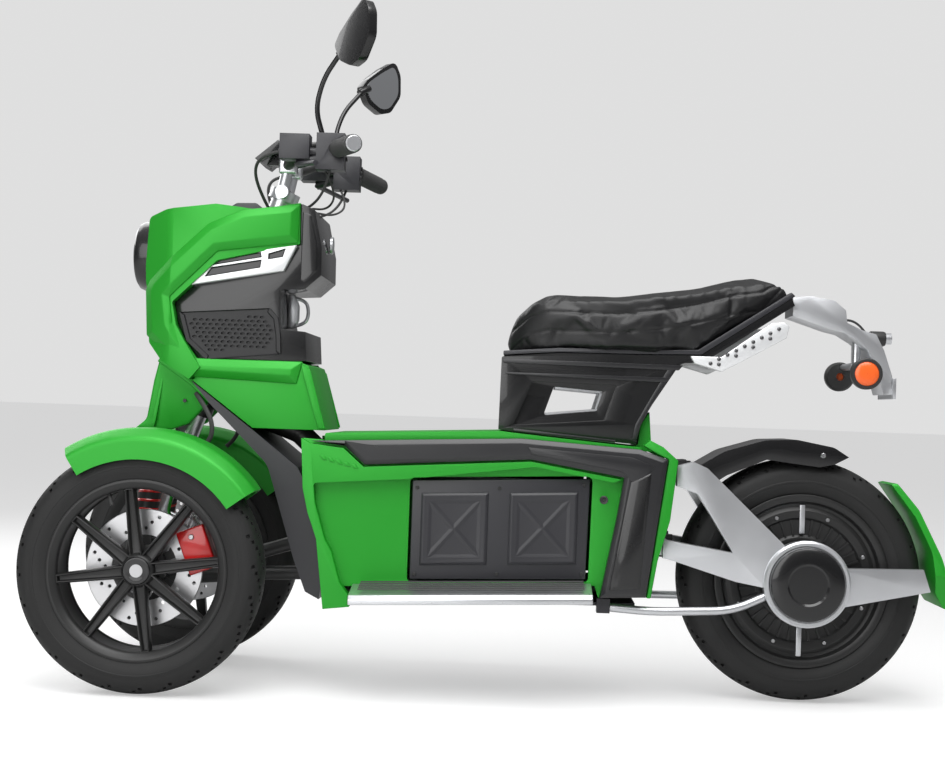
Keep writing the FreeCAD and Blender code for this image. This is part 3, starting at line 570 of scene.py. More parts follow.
def shifted(piece, name, vector):
    """A copy moved by millimetres."""
    twin = copy_of(piece, name)
    edit_all(twin)
    bpy.ops.transform.translate(value=Vector(vector) * MM)
    leave()
    return twin


def drill(piece, cutters):
    """Take the cutters out of the piece."""
    tool = merge("cutter", cutters)
    boolean = piece.modifiers.new("hole", "BOOLEAN")
    boolean.operation = "DIFFERENCE"
    boolean.object = tool
    boolean.solver = "EXACT"
    apply_modifiers(piece)
    bpy.data.objects.remove(tool)


def from_node(node, name):
    """A merged copy of a construction part's mesh, with its flat faces whole again."""
    piece = bpy.data.objects.new(name, frame["nodes"][node].data.copy())
    bpy.context.scene.collection.objects.link(piece)
    edit_all(piece)
    bpy.ops.mesh.remove_doubles(threshold=2e-6)
    bpy.ops.mesh.dissolve_limited(angle_limit=math.radians(0.4))
    leave()
    return piece


def deliver(piece, material, body, replaces=(), angle=32):
    """Shade, paint and attach a finished piece."""
    only(piece)
    bpy.ops.object.transform_apply(location=True, rotation=True, scale=True)
    bpy.ops.object.shade_smooth_by_angle(angle=math.radians(angle))
    give(piece, material)
    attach(piece, body)
    if replaces:
        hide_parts(*replaces)
    return piece


def refine(node, name, width, segments, finish, body="frame", smooth=32, sharp=28):
    """A construction part with its edges rounded, delivered in its own place."""
    piece = from_node(node, name)
    soften(piece, width, segments, sharp)
    deliver(piece, finish(), body, [node], smooth)


def bolt(name, place, radius, way=(0, 1, 0), height=3.0):
    """A low hexagon-socket screw head that stands on a surface, in millimetres."""
    foot = Vector(place)
    top = foot + Vector(way).normalized() * height
    head = rod(name, foot, top, radius, sides=14)
    edit(head, "FACE")
    up = Vector(way).normalized()
    crown = top * MM
    pick_faces(head, lambda middle, normal: normal.dot(up) > 0.95 and (middle - crown).dot(up) > -0.0005)
    bpy.ops.mesh.inset(thickness=radius * 0.35 * MM, depth=0)
    bpy.ops.mesh.extrude_region_move(TRANSFORM_OT_translate={"value": -up * height * 0.55 * MM})
    leave()
    return head


# ------------------------------------------------------------------ front bodywork

def cowl_plan(x, z):
    """Half width of the nose, in millimetres, at a place in its side view."""
    plan = ((335, 119), (390, 121), (540, 137), (640, 131), (712, 88))
    width = plan[0][1]
    for (x0, w0), (x1, w1) in zip(plan, plan[1:]):
        if x >= x0:
            width = w0 + (w1 - w0) * min(1, (x - x0) / (x1 - x0))
    low = 117 - max(0, x - 600) * 0.16
    blend = min(1, max(0, (z - 615) / 90))
    return low + (width - low) * blend


def wrap_to_nose(piece, rows=(470, 540, 600, 640, 670)):
    """Cut a flat side piece into strips and bend it round the nose's plan."""
    edit(piece)
    for x in rows:
        bpy.ops.mesh.select_all(action="SELECT")
        bpy.ops.mesh.bisect(plane_co=(x * MM, 0, 0), plane_no=(1, 0, 0))
    for z in (640, 700):
        bpy.ops.mesh.select_all(action="SELECT")
        bpy.ops.mesh.bisect(plane_co=(0, 0, z * MM), plane_no=(0, 0, 1))
    leave()
    for vertex in piece.data.vertices:
        vertex.co.y += cowl_plan(vertex.co.x / MM, vertex.co.z / MM) * MM


BAND = (
    (397, 932), (505, 916), (571, 887), (688, 777), (697, 758), (691, 670), (684, 664), (603, 592),
    (392, 585), (382, 628), (587, 628), (634, 694), (642, 744), (551, 834), (398, 857),
)


def make_nose_band():
    """The raised band that runs round the nose and along the top of the leg shield."""
    band = slab("nose_band", BAND, -8, 2)
    raise_faces(band, faces_out(1), 15, 9)
    wrap_to_nose(band)
    soften(band, 2.2, 3, 14)
    piece = both_sides("nose_band", band)
    deliver(piece, green_paint(), "frame", angle=22)


def make_nose():
    """The cowl inside the band: rounded front corners and a ridged top."""
    cowl = from_node("nose_cowl", "nose_shell")
    edit_all(cowl)
    bpy.ops.transform.resize(value=(1, 0.93, 1), center_override=(0, 0, 0))
    leave()
    soften(cowl, 7, 4)
    deliver(cowl, green_paint(), "frame", ["nose_cowl"], 40)
    fin = slab(
        "nose_fin", ((573, 900), (556, 924), (533, 939), (494, 940), (480, 928), (474, 905)), -60, 60)
    soften(fin, 3, 3)
    deliver(fin, black_plastic(), "frame")


def make_leg_shield():
    refine("leg_shield", "leg_shield_shell", 4, 3, green_paint)
    corner = slab("leg_shield_corner", ((384, 622), (366, 612), (333, 500), (347, 500), (379, 600)), -4, 3)
    wrap_to_nose(corner, (360,))
    soften(corner, 1.5, 2)
    deliver(both_sides("leg_shield_corners", corner), green_paint(), "frame")
    refine("nose_fairing", "nose_fairing_shell", 4, 3, green_paint)
    seam = slab("fairing_ridge", ((655, 622), (650, 622), (668, 505), (672, 492), (676, 505)), 84, 96)
    soften(seam, 1.5, 2)
    screw = bolt("fairing_screw", (612, 97, 545), 3.6)
    flap = slab(
        "fairing_flap", ((668, 620), (600, 575), (566, 542), (560, 548), (596, 590), (660, 632)), 92,
        102)
    soften(flap, 2, 2)
    deliver(
        both_sides("fairing_ridges", merge("ridges", [seam, flap])), green_paint(), "frame")
    deliver(both_sides("fairing_screws", screw), frame_black(), "frame")


GRILLE = ((624, 716), (449, 729), (433, 712), (427, 678), (425, 641), (568, 626), (608, 661))


def inside(outline, x, z, margin):
    """Whether a place lies inside a convex-enough outline, at least a margin from its edges."""
    for (x0, z0), (x1, z1) in zip(outline, outline[1:] + outline[:1]):
        run = math.hypot(x1 - x0, z1 - z0)
        if ((x1 - x0) * (z - z0) - (z1 - z0) * (x - x0)) / run < margin:
            return False
    return True


def make_grille():
    """A framed panel with offset rows of long six-sided holes, before a dark backing."""
    panel = slab("grille_panel", GRILLE, 114, 122)
    raise_faces(panel, faces_out(1), 7, 0)
    raise_faces(panel, lambda middle, normal: normal.y > 0.9 and abs(middle.x - 0.52) < 0.05, 2, -3)
    cutters = []
    rows = 11
    for row in range(rows):
        z = 637 + row * 8.2
        for column in range(17):
            x = 432 + column * 12.4 + (row % 2) * 6.2
            if not inside(GRILLE, x, z, 15):
                continue
            bpy.ops.object.select_all(action="DESELECT")
            bpy.ops.mesh.primitive_cylinder_add(
                vertices=6, radius=2.9 * MM, depth=20 * MM, location=(x * MM, 118 * MM, z * MM),
                rotation=(math.pi / 2, 0, 0))
            hole = bpy.context.object
            hole.scale = (1.75, 1, 1)
            bpy.ops.object.transform_apply(location=True, rotation=True, scale=True)
            cutters.append(hole)
    drill(panel, cutters)
    backing = slab("grille_backing", GRILLE, 111, 114.5)
    piece = both_sides("grille_mesh", merge("grille_half", [panel, backing]))
    deliver(piece, grille_plastic(), "frame", ["grilles"], 20)


SIDE_LIGHT = ((608, 768), (558, 827), (400, 852), (424, 801))
LIGHT_WINDOWS = (
    ((555, 819), (469, 837), (467, 826), (562, 808)),
    ((565, 804), (467, 822), (469, 806), (577, 785)),
    ((455, 834), (421, 845), (426, 828), (455, 822)),
)


def make_side_lights():
    """White frames with three dark windows each."""
    bezel = slab("light_bezel", SIDE_LIGHT, 106, 127)
    soften(bezel, 2.5, 3)
    cutters = [slab("window_cutter", window, 119, 140) for window in LIGHT_WINDOWS]
    drill(bezel, cutters)
    deliver(both_sides("side_light_frames", bezel), lamp_white(), "frame", ["side_lights"])
    lenses = []
    for index, window in enumerate(LIGHT_WINDOWS):
        lens = slab(f"window_{index}", window, 118, 120.5)
        raise_faces(lens, faces_out(1), 2.4, 1.6)
        lenses.append(lens)
    deliver(
        both_sides("side_light_windows", merge("windows", lenses)), gloss_black(), "frame")


def make_dash():
    refine("dash_housing", "dash_shell", 3, 3, gloss_black)
    pod = slab(
        "dash_pod", ((398, 926), (372, 916), (357, 852), (357, 802), (384, 776), (398, 782)), 100, 108)
    raise_faces(pod, faces_out(1), 6, 5)
    soften(pod, 1.5, 2)
    deliver(both_sides("dash_pods", pod), gloss_black(), "frame")
    collar = lathe("lock_collar", ((0, 0.5), (0, 17), (5, 17), (7, 14), (5, 11), (5, 0.5)),
                   (0.346, 0, 0.866), 32, "X")
    deliver(collar, satin_aluminium(), "frame")
    plate = slab(
        "hook_plate", ((432, 765), (418, 765), (410, 742), (410, 712), (420, 697), (432, 697)), -9, 9)
    soften(plate, 3, 3)
    loop = tube(
        "hook_loop", ((424, 0, 758), (398, 0, 756), (390, 0, 732), (396, 0, 706), (420, 0, 702)), 3.6,
        12)
    deliver(merge("bag_hook", [plate, loop]), satin_aluminium(), "frame")


def make_headlight():
    """A deep black ring, a domed lens and a bright ring behind it."""
    centre = (0.670, 0, 0.833)
    ring = lathe(
        "headlight_ring", ((-4, 58), (-4, 69), (0, 70.4), (50, 70.4), (60, 66), (64, 60), (61, 56),
        (48, 54), (30, 53), (24, 46)), centre, 72, "X")
    deliver(ring, gloss_black(), "frame", ["headlight"])
    lens = lathe(
        "headlight_lens", ((26, 0.5), (26, 53), (50, 54), (60, 45), (68, 29), (73.5, 11), (74.5, 0.5)),
        centre, 64, "X")
    deliver(lens, dark_lens(), "frame", angle=60)
    glow = lathe("headlight_glow", ((56, 47.5), (60.5, 49), (60, 53), (56, 54)), centre, 64, "X")
    deliver(glow, lamp_white(), "frame")


# ------------------------------------------------------------------ wheels

FRONT_HUB = {side: Vector((0.653, side * 0.220, 0.230)) for side in (1, -1)}
REAR_HUB = Vector((-0.596, 0, 0.237))
FRONT_TYRE = {"half": 48, "radius": 230}
REAR_TYRE = {"half": 61, "radius": 237}
TREAD = {"steps": 216, "pitch": 9, "slant": 2}
MOTOR_BOLT_CIRCLE = 129
SIGNAL_PLACE = (-0.694, 0.112, 0.641)
SIDES = ((1, "left"), (-1, "right"))


def tyre(name, half, radius, centre):
    """A tyre with a bead, ringed side walls and slanted grooves cut into its tread."""
    steps = TREAD["steps"]
    pitch = TREAD["pitch"]
    tread = [(half * t, radius - drop) for t, drop in (
        (0.80, 11), (0.70, 6.6), (0.56, 3.4), (0.42, 1.6), (0.28, 0.7), (0.14, 0.1))]
    wall = [
        (half * 0.79, 160), (half * 0.84, 169), (half * 0.93, 178), (half * 0.985, 188), (half * 0.985,
        190), (half * 1.0, 191), (half, 194), (half * 0.99, 195), (half * 0.985, radius - 29),
        (half * 0.95, radius - 22), (half * 0.90, radius - 17), ]
    right = wall + tread
    profile = right + [(0, radius)] + [(-y, r) for y, r in reversed(right)]
    body = lathe(name, profile, centre, steps)
    edit(body, "FACE")
    mesh = bmesh.from_edit_mesh(body.data)
    lines = [half * t * MM for t in (0.07, 0.21, 0.35, 0.49, 0.63, 0.75, 0.85)]
    for face in mesh.faces:
        middle = face.calc_center_median() - Vector(centre)
        away = math.hypot(middle.x, middle.z)
        face.select_set(False)
        if away < (radius - 15) * MM:
            continue
        row = min(range(len(lines)), key=lambda index: abs(abs(middle.y) - lines[index]))
        step = round(math.atan2(middle.z, middle.x) / math.tau * steps - 0.5) % steps
        lane = step + row * TREAD["slant"] + (pitch // 2 if middle.y < 0 else 0)
        face.select_set(row > 0 and lane % pitch == 0)
    bmesh.update_edit_mesh(body.data)
    bpy.ops.mesh.inset(thickness=0.0006, depth=-shape_settings().tread_depth, use_even_offset=True)
    leave()
    return body


def make_front_tyres():
    for side, name in SIDES:
        body = tyre(f"tyre_front_{name}", FRONT_TYRE["half"], FRONT_TYRE["radius"], FRONT_HUB[side])
        deliver(body, tyre_rubber(), f"front_wheel_{name}", [f"front_tyre_{name}"], 30)


def make_front_rims():
    """A deep barrel, eight spokes with a groove between two ridges, and a plain cap."""
    for side, name in SIDES:
        centre = FRONT_HUB[side]
        barrel = lathe(f"barrel_{name}", [(side * y, r) for y, r in (
            (-42, 150), (-42, 168), (-38, 168), (-36, 159), (34, 157), (37, 167.5), (42, 168), (43, 163),
            (40, 158), (37, 153), (33, 150), (26, 149), (16, 152), (-34, 152), (-38, 149))], centre, 96)
        hub = lathe(f"hub_{name}", [(side * y, r) for y, r in (
            (-20, 13), (-20, 44), (-13, 44), (-11, 33), (20, 33), (30, 31), (36, 28), (38, 25), (38, 13))],
            centre, 48)
        cap = lathe(f"rim_cap_{name}", [(side * y, r) for y, r in (
            (34, 0.5), (34, 26), (39, 26), (41.4, 24), (42, 20), (41.4, 17), (41.4, 0.5))], centre, 48)
        base = Vector((centre.x, 0, centre.z))
        near = centre.y / MM + side * 14
        far = centre.y / MM + side * 30
        spoke = slab(f"spoke_{name}", [(base.x / MM + x, base.z / MM + z) for x, z in (
            (-13, 24), (-11.5, 70), (-9, 153), (9, 153), (11.5, 70), (13, 24))], near, far)
        raise_faces(spoke, faces_out(side), 2.2, 5)
        raise_faces(spoke, faces_out(side), 1.6, 0)
        edit(spoke, "FACE")
        outer = far * MM + side * 0.004
        pick_faces(spoke, lambda middle, normal: normal.y * side > 0.9
                   and abs(middle.x - base.x) < 0.002 and abs(middle.z - base.z - 0.088) < 0.03
                   and (middle.y - outer) * side > 0)
        bpy.ops.mesh.inset(thickness=0.0018, depth=-0.011)
        leave()
        spokes = around(spoke, shape_settings().spoke_count, base, "Y", 8)
        piece = merge(f"rim_front_{name}", [barrel, hub, spokes])
        soften(piece, 0.8, 2, 30)
        deliver(piece, wheel_black(), f"front_wheel_{name}", [f"front_rim_{name}"])
        deliver(cap, gloss_black(), f"front_wheel_{name}")
        valve = rod(f"valve_{name}", (centre.x / MM + 60, centre.y / MM + side * 22, centre.z / MM + 138),
                    (centre.x / MM + 52, centre.y / MM + side * 30, centre.z / MM + 118), 3.4, 12)
        deliver(valve, grip_rubber(), f"front_wheel_{name}")


def make_brakes():
    """Drilled discs on black carriers, and ribbed calipers."""
    for side, name in SIDES:
        centre = FRONT_HUB[side]
        disc = lathe(f"disc_{name}", [(side * y, r) for y, r in (
            (-24, 62), (-24, 109), (-23.4, 110), (-20.6, 110), (-20, 109), (-20, 62))], centre, 72)
        cutters = []
        for index in range(12):
            for radius, lag in ((74, 0), (86, 0.13), (98, 0.26)):
                angle = math.tau * index / 12 + lag
                place = Vector((centre.x / MM + radius * math.cos(angle), 0,
                                centre.z / MM + radius * math.sin(angle)))
                start = place + Vector((0, side * 190, 0))
                cutters.append(rod("drill", start, place + Vector((0, side * 206, 0)), 3.6, 10))
        drill(disc, cutters)
        deliver(disc, brushed_disc(), f"front_wheel_{name}", [f"brake_disc_{name}"], 30)
        arm = slab(f"disc_carrier_{name}", [(centre.x / MM + x, centre.z / MM + z) for x, z in (
            (-8, 30), (-12, 66), (6, 66), (8, 30))], side * 197, side * 199.5)
        arms = around(arm, 6, Vector((centre.x, 0, centre.z)))
        deliver(arms, frame_black(), f"front_wheel_{name}")
        refine(
            f"brake_caliper_{name}", f"caliper_{name}", 4, 3, red_paint,
            f"knuckle_{name}")
        studs = [bolt("caliper_stud", (x, side * 217, z), 5, (0, side, 0), 2.5) for x, z in (
            (541, 246), (563, 292))]
        deliver(merge(f"caliper_studs_{name}", studs), bright_steel(), f"knuckle_{name}")


def make_mudguards():
    """Painted guards that turn with the front wheels' knuckles."""
    for side, name in SIDES:
        guard = from_node(f"front_mudguard_{name}", f"mudguard_{name}")
        deliver(guard, green_paint(), f"knuckle_{name}", [f"front_mudguard_{name}"], 40)


def make_rear_wheel():
    body = tyre("tyre_rear", REAR_TYRE["half"], REAR_TYRE["radius"], REAR_HUB)
    deliver(body, tyre_rubber(), "rear_wheel", ["rear_tyre"], 30)
    upper = [(38, 14.5), (38, 70), (44, 74), (44, 84), (40, 88), (40, 118), (45, 122), (47, 136), (42, 144),
             (44, 150), (54, 154), (57, 163), (56.5, 168), (52, 168), (50, 160)]
    rim = lathe("rear_rim", upper + [(-y, r) for y, r in reversed(upper)], REAR_HUB, 96)
    soften(rim, 0.8, 2, 30)
    deliver(rim, wheel_black(), "rear_wheel", ["rear_hub_wheel"])
    parts = []
    for side in (1, -1):
        rib = slab(
            "motor_rib", [(-596 + x, 237 + z) for x,
            z in ((-1.6, 88), (-2.2, 119), (2.2, 119), (1.6, 88))], side * 38, side * 43.5)
        parts.append(around(rib, 36, Vector((REAR_HUB.x, 0, REAR_HUB.z))))
    ribs = merge("motor_ribs", parts)
    deliver(ribs, wheel_black(), "rear_wheel")
    heads = []
    for side in (1, -1):
        for index in range(8):
            angle = math.tau * (index + 0.5) / 8
            out = MOTOR_BOLT_CIRCLE * Vector((math.cos(angle), 0, math.sin(angle)))
            place = REAR_HUB / MM + out + Vector((0, side * 46, 0))
            heads.append(bolt("motor_bolt", place, 3.8, (0, side, 0), 2.4))
    deliver(merge("motor_bolts", heads), bright_steel(), "rear_wheel")
    # Painted reflection: silver strips straight above and below the axle on each side of the motor stand in
    # for a streak of reflected light, not for parts of the hub.
    strips = []
    for side in (1, -1):
        for low, high in ((328, 384), (90, 146)):
            strip = slab(
                "hub_strip", ((-601, low), (-591, low), (-591, high), (-601, high)), side * 42,
                side * 47.5)
            soften(strip, 1, 2)
            strips.append(strip)
    deliver(merge("hub_strips", strips), satin_aluminium(), "rear_wheel")


# ------------------------------------------------------------------ middle bodywork

def make_skirts():
    refine("side_skirts", "skirt_panels", 2.6, 3, green_paint)
    marks = []
    for index in range(5):
        x = 336 - index * 15
        z = 452 - index * 3.6
        mark = slab("skirt_mark", ((x, z), (x - 9, z - 1), (x - 15, z - 10), (x - 6, z - 9)), 164, 168)
        soften(mark, 1, 2)
        marks.append(mark)
    deliver(both_sides("skirt_marks", merge("marks", marks)), green_paint(), "frame")
    ring = lathe(
        "lock_ring", ((-3, 0.5), (-3, 8), (3, 8), (4, 7), (3.4, 4.6), (1, 4), (1, 0.5)), (-0.203, 0.166,
        0.386), 28)
    deliver(both_sides("skirt_locks", ring), frame_black(), "frame")
    refine("tunnel_cover", "tunnel_top", 4, 3, green_paint)
    refine("rear_edge_trims", "rear_edges", 2.2, 2, green_paint)


TRIM = (
    (353, 478), (-44, 496), (-268, 483), (-321, 466), (-287, 206), (-201, 202), (-228, 351), (-240, 429),
    (-64, 457), (250, 436), (289, 470),
)


def make_trims():
    """The dark band along the top, which opens into a facet and a rear panel."""
    band = slab("trim_band", TRIM, 146, 166)
    raise_faces(band, faces_out(1), 9, 5.5)
    soften(band, 1.2, 2)
    deliver(both_sides("trim_bands", band), trim_grey(), "frame", ["side_trims"], 24)
    facet = slab(
        "trim_facet", ((-58, 480), (-252, 468), (-296, 452), (-262, 415), (-236, 441), (-66, 467)), 170,
        173)
    soften(facet, 1, 2)
    lower = slab(
        "trim_lower", ((-290, 440), (-275, 222), (-218, 218), (-240, 356), (-252, 422)), 170, 172.5)
    raise_faces(lower, faces_out(1), 5, 2)
    soften(lower, 0.8, 2)
    deliver(both_sides("trim_facets", facet), trim_grey(), "frame")
    deliver(both_sides("trim_panels", lower), gloss_black(), "frame")


def emboss_cross(pad, side):
    """Sink four triangles into a pad's face, so that a cross stands between them."""
    edit(pad, "FACE")
    pick_faces(pad, lambda middle, normal: normal.y * side > 0.98 and abs(middle.y) > 0.1535)
    bpy.ops.mesh.inset(thickness=0.004, depth=0)
    bpy.ops.mesh.poke()
    bpy.ops.mesh.inset(thickness=0.006, depth=-0.0022, use_individual=True)
    leave()


def make_battery_doors():
    """A lid with two square pads, each with a raised cross between four sunk triangles."""
    for side, name in SIDES:
        lid = slab(
            f"lid_{name}", ((159, 410), (-177, 424), (-174, 234), (159, 222)), side * 138, side * 150)
        soften(lid, 2.5, 3)
        pads = []
        for outline in (
            ((141, 386), (14, 391), (14, 255), (141, 249)), ((-26, 392), (-155, 398), (-155, 262),
            (-26, 257))):
            pad = slab("pad", outline, side * 149, side * 152.5)
            raise_faces(pad, faces_out(side), 5, 3)
            raise_faces(pad, faces_out(side), 5, -1.2)
            emboss_cross(pad, side)
            soften(pad, 1.1, 2, 20)
            pads.append(pad)
        piece = merge(f"battery_lid_{name}", [lid] + pads)
        deliver(
            piece, black_plastic(), f"battery_door_{name}", [f"battery_door_{name}"],
            25)
        screws = [bolt("lid_screw", (x, side * 150, z), 3.4, (0, side, 0), 2) for x, z in (
            (-6, 400), (-6, 238), (150, 396), (-166, 412), (150, 232), (-166, 244))]
        deliver(merge(f"lid_screws_{name}", screws), frame_black(), f"battery_door_{name}")


def make_footboards():
    refine("footboards", "footboard_plates", 1.6, 2, satin_aluminium)
    ribs = []
    for index in range(5):
        y = 158 + index * 13
        drop = (y - 146.5) * 0.151
        rib = extrude_shape(
            "tread_rib",
            [Vector(p) * MM for p in ((-170, y, 233 - drop), (-170, y + 5, 232.2 - drop),
                                      (-170, y + 4, 234 - drop), (-170, y + 1, 234.6 - drop))],
            Vector((420, 0, -16.9)) * MM)
        ribs.append(rib)
    treads = both_sides("footboard_treads", merge("ribs", ribs))
    deliver(treads, grip_rubber(), "frame")
    screws = [
        bolt("board_screw", (x, 228, 203 - (x + 186) * 0.0402), 4, (0, 1, 0.4), 2.6) for x in (-150,
        -20, 110, 240)]
    deliver(both_sides("footboard_screws", merge("screws", screws)), bright_steel(), "frame")


# ------------------------------------------------------------------ seat and tail

def seat_top(x):
    """Height of the cushion's top line, in millimetres."""
    line = ((-566, 806), (-548, 820), (-515, 825), (-449, 815), (-374, 794), (-300, 779), (-223, 770),
            (-90, 771), (-52, 762), (-18, 732), (-3, 690))
    for (x0, z0), (x1, z1) in zip(line, line[1:]):
        if x <= x1:
            share = max(0.0, (x - x0) / (x1 - x0))
            return z0 + (z1 - z0) * share
    return line[-1][1]


def make_seat():
    """A leather cushion: swollen by pressure, then sewn along two lines each side."""
    cushion = from_node("seat_cushion", "seat_pad")
    edit_all(cushion)
    bpy.ops.transform.resize(value=(0.985, 0.93, 0.93), center_override=(-0.28, 0, 0.72))
    leave()
    soften(cushion, 12, 4, 25)
    remesh = cushion.modifiers.new("remesh", "REMESH")
    remesh.mode = "VOXEL"
    remesh.voxel_size = 0.0055
    apply_modifiers(cushion)
    smooth = cushion.modifiers.new("smooth", "SMOOTH")
    smooth.iterations = 8
    smooth.factor = 0.6
    apply_modifiers(cushion)
    swell(cushion, shape_settings().seat_pressure, shape_settings().seat_swell)
    fine = cushion.modifiers.new("fine", "SUBSURF")
    fine.levels = 1
    fine.render_levels = 1
    apply_modifiers(cushion)
    sew(cushion)
    deliver(cushion, seat_leather(), "frame", ["seat_cushion"], 60)
    base = slab(
        "seat_base", ((-4, 655), (-4, 663), (-112, 672), (-264, 673), (-378, 677), (-552, 793),
        (-560, 786), (-384, 668), (-264, 665), (-112, 664)), -104, 104)
    soften(base, 1.5, 2)
    deliver(base, black_plastic(), "frame")


def swell(piece, pressure, cap):
    """Blow a closed form up a little with cloth pressure; no point moves further than the cap."""
    before = [vertex.co.copy() for vertex in piece.data.vertices]
    cloth = piece.modifiers.new("cloth", "CLOTH")
    cloth.settings.use_pressure = True
    cloth.settings.uniform_pressure_force = pressure
    cloth.settings.quality = 5
    cloth.settings.effector_weights.gravity = 0
    cloth.point_cache.frame_start = 1
    cloth.point_cache.frame_end = 20
    for step in range(1, 21):
        bpy.context.scene.frame_set(step)
    apply_modifiers(piece)
    bpy.context.scene.frame_set(1)
    for vertex, start in zip(piece.data.vertices, before):
        moved = vertex.co - start
        if moved.length > cap:
            vertex.co = start + moved.normalized() * cap


SEAMS = ((26, 2.6), (62, 2.0))


def sew(piece):
    """Pull a narrow channel in along each seam."""
    normals = [vertex.normal.copy() for vertex in piece.data.vertices]
    for vertex, normal in zip(piece.data.vertices, normals):
        x = vertex.co.x / MM
        z = vertex.co.z / MM
        if abs(vertex.co.y) < 0.055 or normal.z < -0.5:
            continue
        for drop, depth in SEAMS:
            fade = 1 if x > -500 else max(0.0, 1 - (-500 - x) / 50)
            gap = abs(z - (seat_top(x) - drop * fade - 4))
            pull = depth * math.exp(-(gap / 2.6) ** 2)
            vertex.co -= normal * pull * MM


def make_seat_post():
    """A pillar with ridges above its window and a lining of lighter plates inside it."""
    refine("seat_post", "seat_pillar", 2.2, 3, gloss_black)
    ridges = []
    for outline in (
        ((-4, 640), (-4, 648), (-350, 646), (-342, 636)), ((-10, 618), (-8, 622), (-326, 622),
        (-318, 612)), ((-28, 508), (-28, 514), (-225, 498), (-225, 493))):
        ridge = slab("post_ridge", outline, 98, 104)
        soften(ridge, 1.4, 2)
        ridges.append(ridge)
    post = slab(
        "post_edge", ((-322, 640), (-334, 636), (-291, 566), (-272, 528), (-266, 500), (-256, 500),
        (-262, 530), (-280, 564)), 98, 103)
    soften(post, 1.4, 2)
    deliver(both_sides("post_ridges", merge("ridges", ridges + [post])), trim_grey(), "frame")
    plates = []
    for outline in (
        ((-88, 546), (-190, 557), (-189, 553), (-86, 542)), ((-106, 597), (-198, 591), (-198, 587),
        (-106, 593)), ((-188, 556), (-198, 589), (-194, 589), (-184, 556))):
        plates.append(slab("window_plate", outline, -80, 80))
    deliver(merge("window_lining", plates), satin_aluminium(), "frame")


def make_tail():
    refine("tail_light_strips", "tail_strip_frames", 1.6, 2, lamp_white)
    beads = []
    for index in range(9):
        share = index / 8
        x = -400 - 128 * share
        z = 651 + 70 * share
        bead = lathe(
            "bead", ((0, 0.4), (0, 4.2), (2.0, 3.2), (2.8, 1.6), (3.0, 0.4)), (x * MM, 0.1175, z * MM),
            12)
        beads.append(bead)
        if index % 2:
            beads.append(shifted(bead, "bead_low", (0, 0, -10)))
    deliver(both_sides("tail_strip_lamps", merge("beads", beads)), dark_lens(), "frame")
    refine("tail_bracket", "tail_bracket_casting", 2.2, 2, satin_aluminium)
    sleeve = lathe(
        "tail_lamp_sleeve", ((-36, 10), (-36, 13.5), (-32, 15), (-8, 15), (-5, 13), (-5, 10)), (-0.720,
        0, 0.715), 32, "X")
    deliver(sleeve, frame_black(), "frame")
    cable = tube("tail_cable", ((-640, 12, 735), (-668, 18, 752), (-702, 16, 744), (-718, 8, 722)), 2.4, 8)
    deliver(cable, grip_rubber(), "frame")
    lamps = lathe(
        "signal_lens", ((13, 0.5), (13, 23), (18, 23), (20.5, 19), (21.6, 10), (22, 0.5)), SIGNAL_PLACE,
        40)
    deliver(both_sides("signal_lenses", lamps), orange_lens(), "frame", ["rear_signals"], 50)
    ring = lathe(
        "signal_ring", ((0, 8), (0, 26), (5, 30), (17, 30), (19.5, 27.5), (19.5, 23.2), (12, 23.2),
        (12, 8)), SIGNAL_PLACE, 40)
    deliver(both_sides("signal_rings", ring), frame_black(), "frame")


def make_rear_end():
    refine("swingarm", "swingarm_casting", 2.4, 3, satin_aluminium)
    cap = lathe(
        "hub_cap", ((112, 0.5), (112, 72), (124, 72), (130, 69), (133.5, 62), (134, 40), (131, 36),
        (131, 0.5)), REAR_HUB, 72)
    deliver(both_sides("hub_caps", cap), gloss_black(), "frame", ["hub_covers"])
    ring = lathe("hub_ring", ((112, 73), (112, 83), (118, 82.5), (121, 79), (121, 73.5)), REAR_HUB, 72)
    deliver(both_sides("hub_rings", ring), satin_aluminium(), "frame")
    refine("rear_fender", "rear_fender_shell", 4, 3, gloss_black)
    refine("tail_guard", "tail_blade", 4, 3, green_paint)
    screw = bolt("fender_screw", (-628, 72, 482), 5)
    deliver(both_sides("fender_screws", screw), bright_steel(), "frame")


# ------------------------------------------------------------------ steering group

def make_mirrors():
    refine("mirrors", "mirror_shells", 5, 4, gloss_black, "steering", smooth=45, sharp=40)
    outline = (
        (-52, -12), (-40, 5), (-5, 30), (29, 50), (43, 28), (45, -10), (21, -43), (-3, -50), (-35, -37))
    turn = Matrix.Rotation(math.radians(40), 3, "Z")
    points = [turn @ Vector((0.3, y, z)) + Vector((280, 225, 1237)) for y, z in outline]
    glass = extrude_shape("mirror_glass", [point * MM for point in points], turn @ Vector((-0.0018, 0, 0)))
    edit(glass, "EDGE")
    pick_edges(glass, lambda a, b: abs(a.z - b.z) < 1e-5 and (a - b).length < 0.003)
    bpy.ops.mesh.bevel(offset=0.010, segments=5)
    leave()
    deliver(both_sides("mirror_glasses", glass), mirror_glass(), "steering")


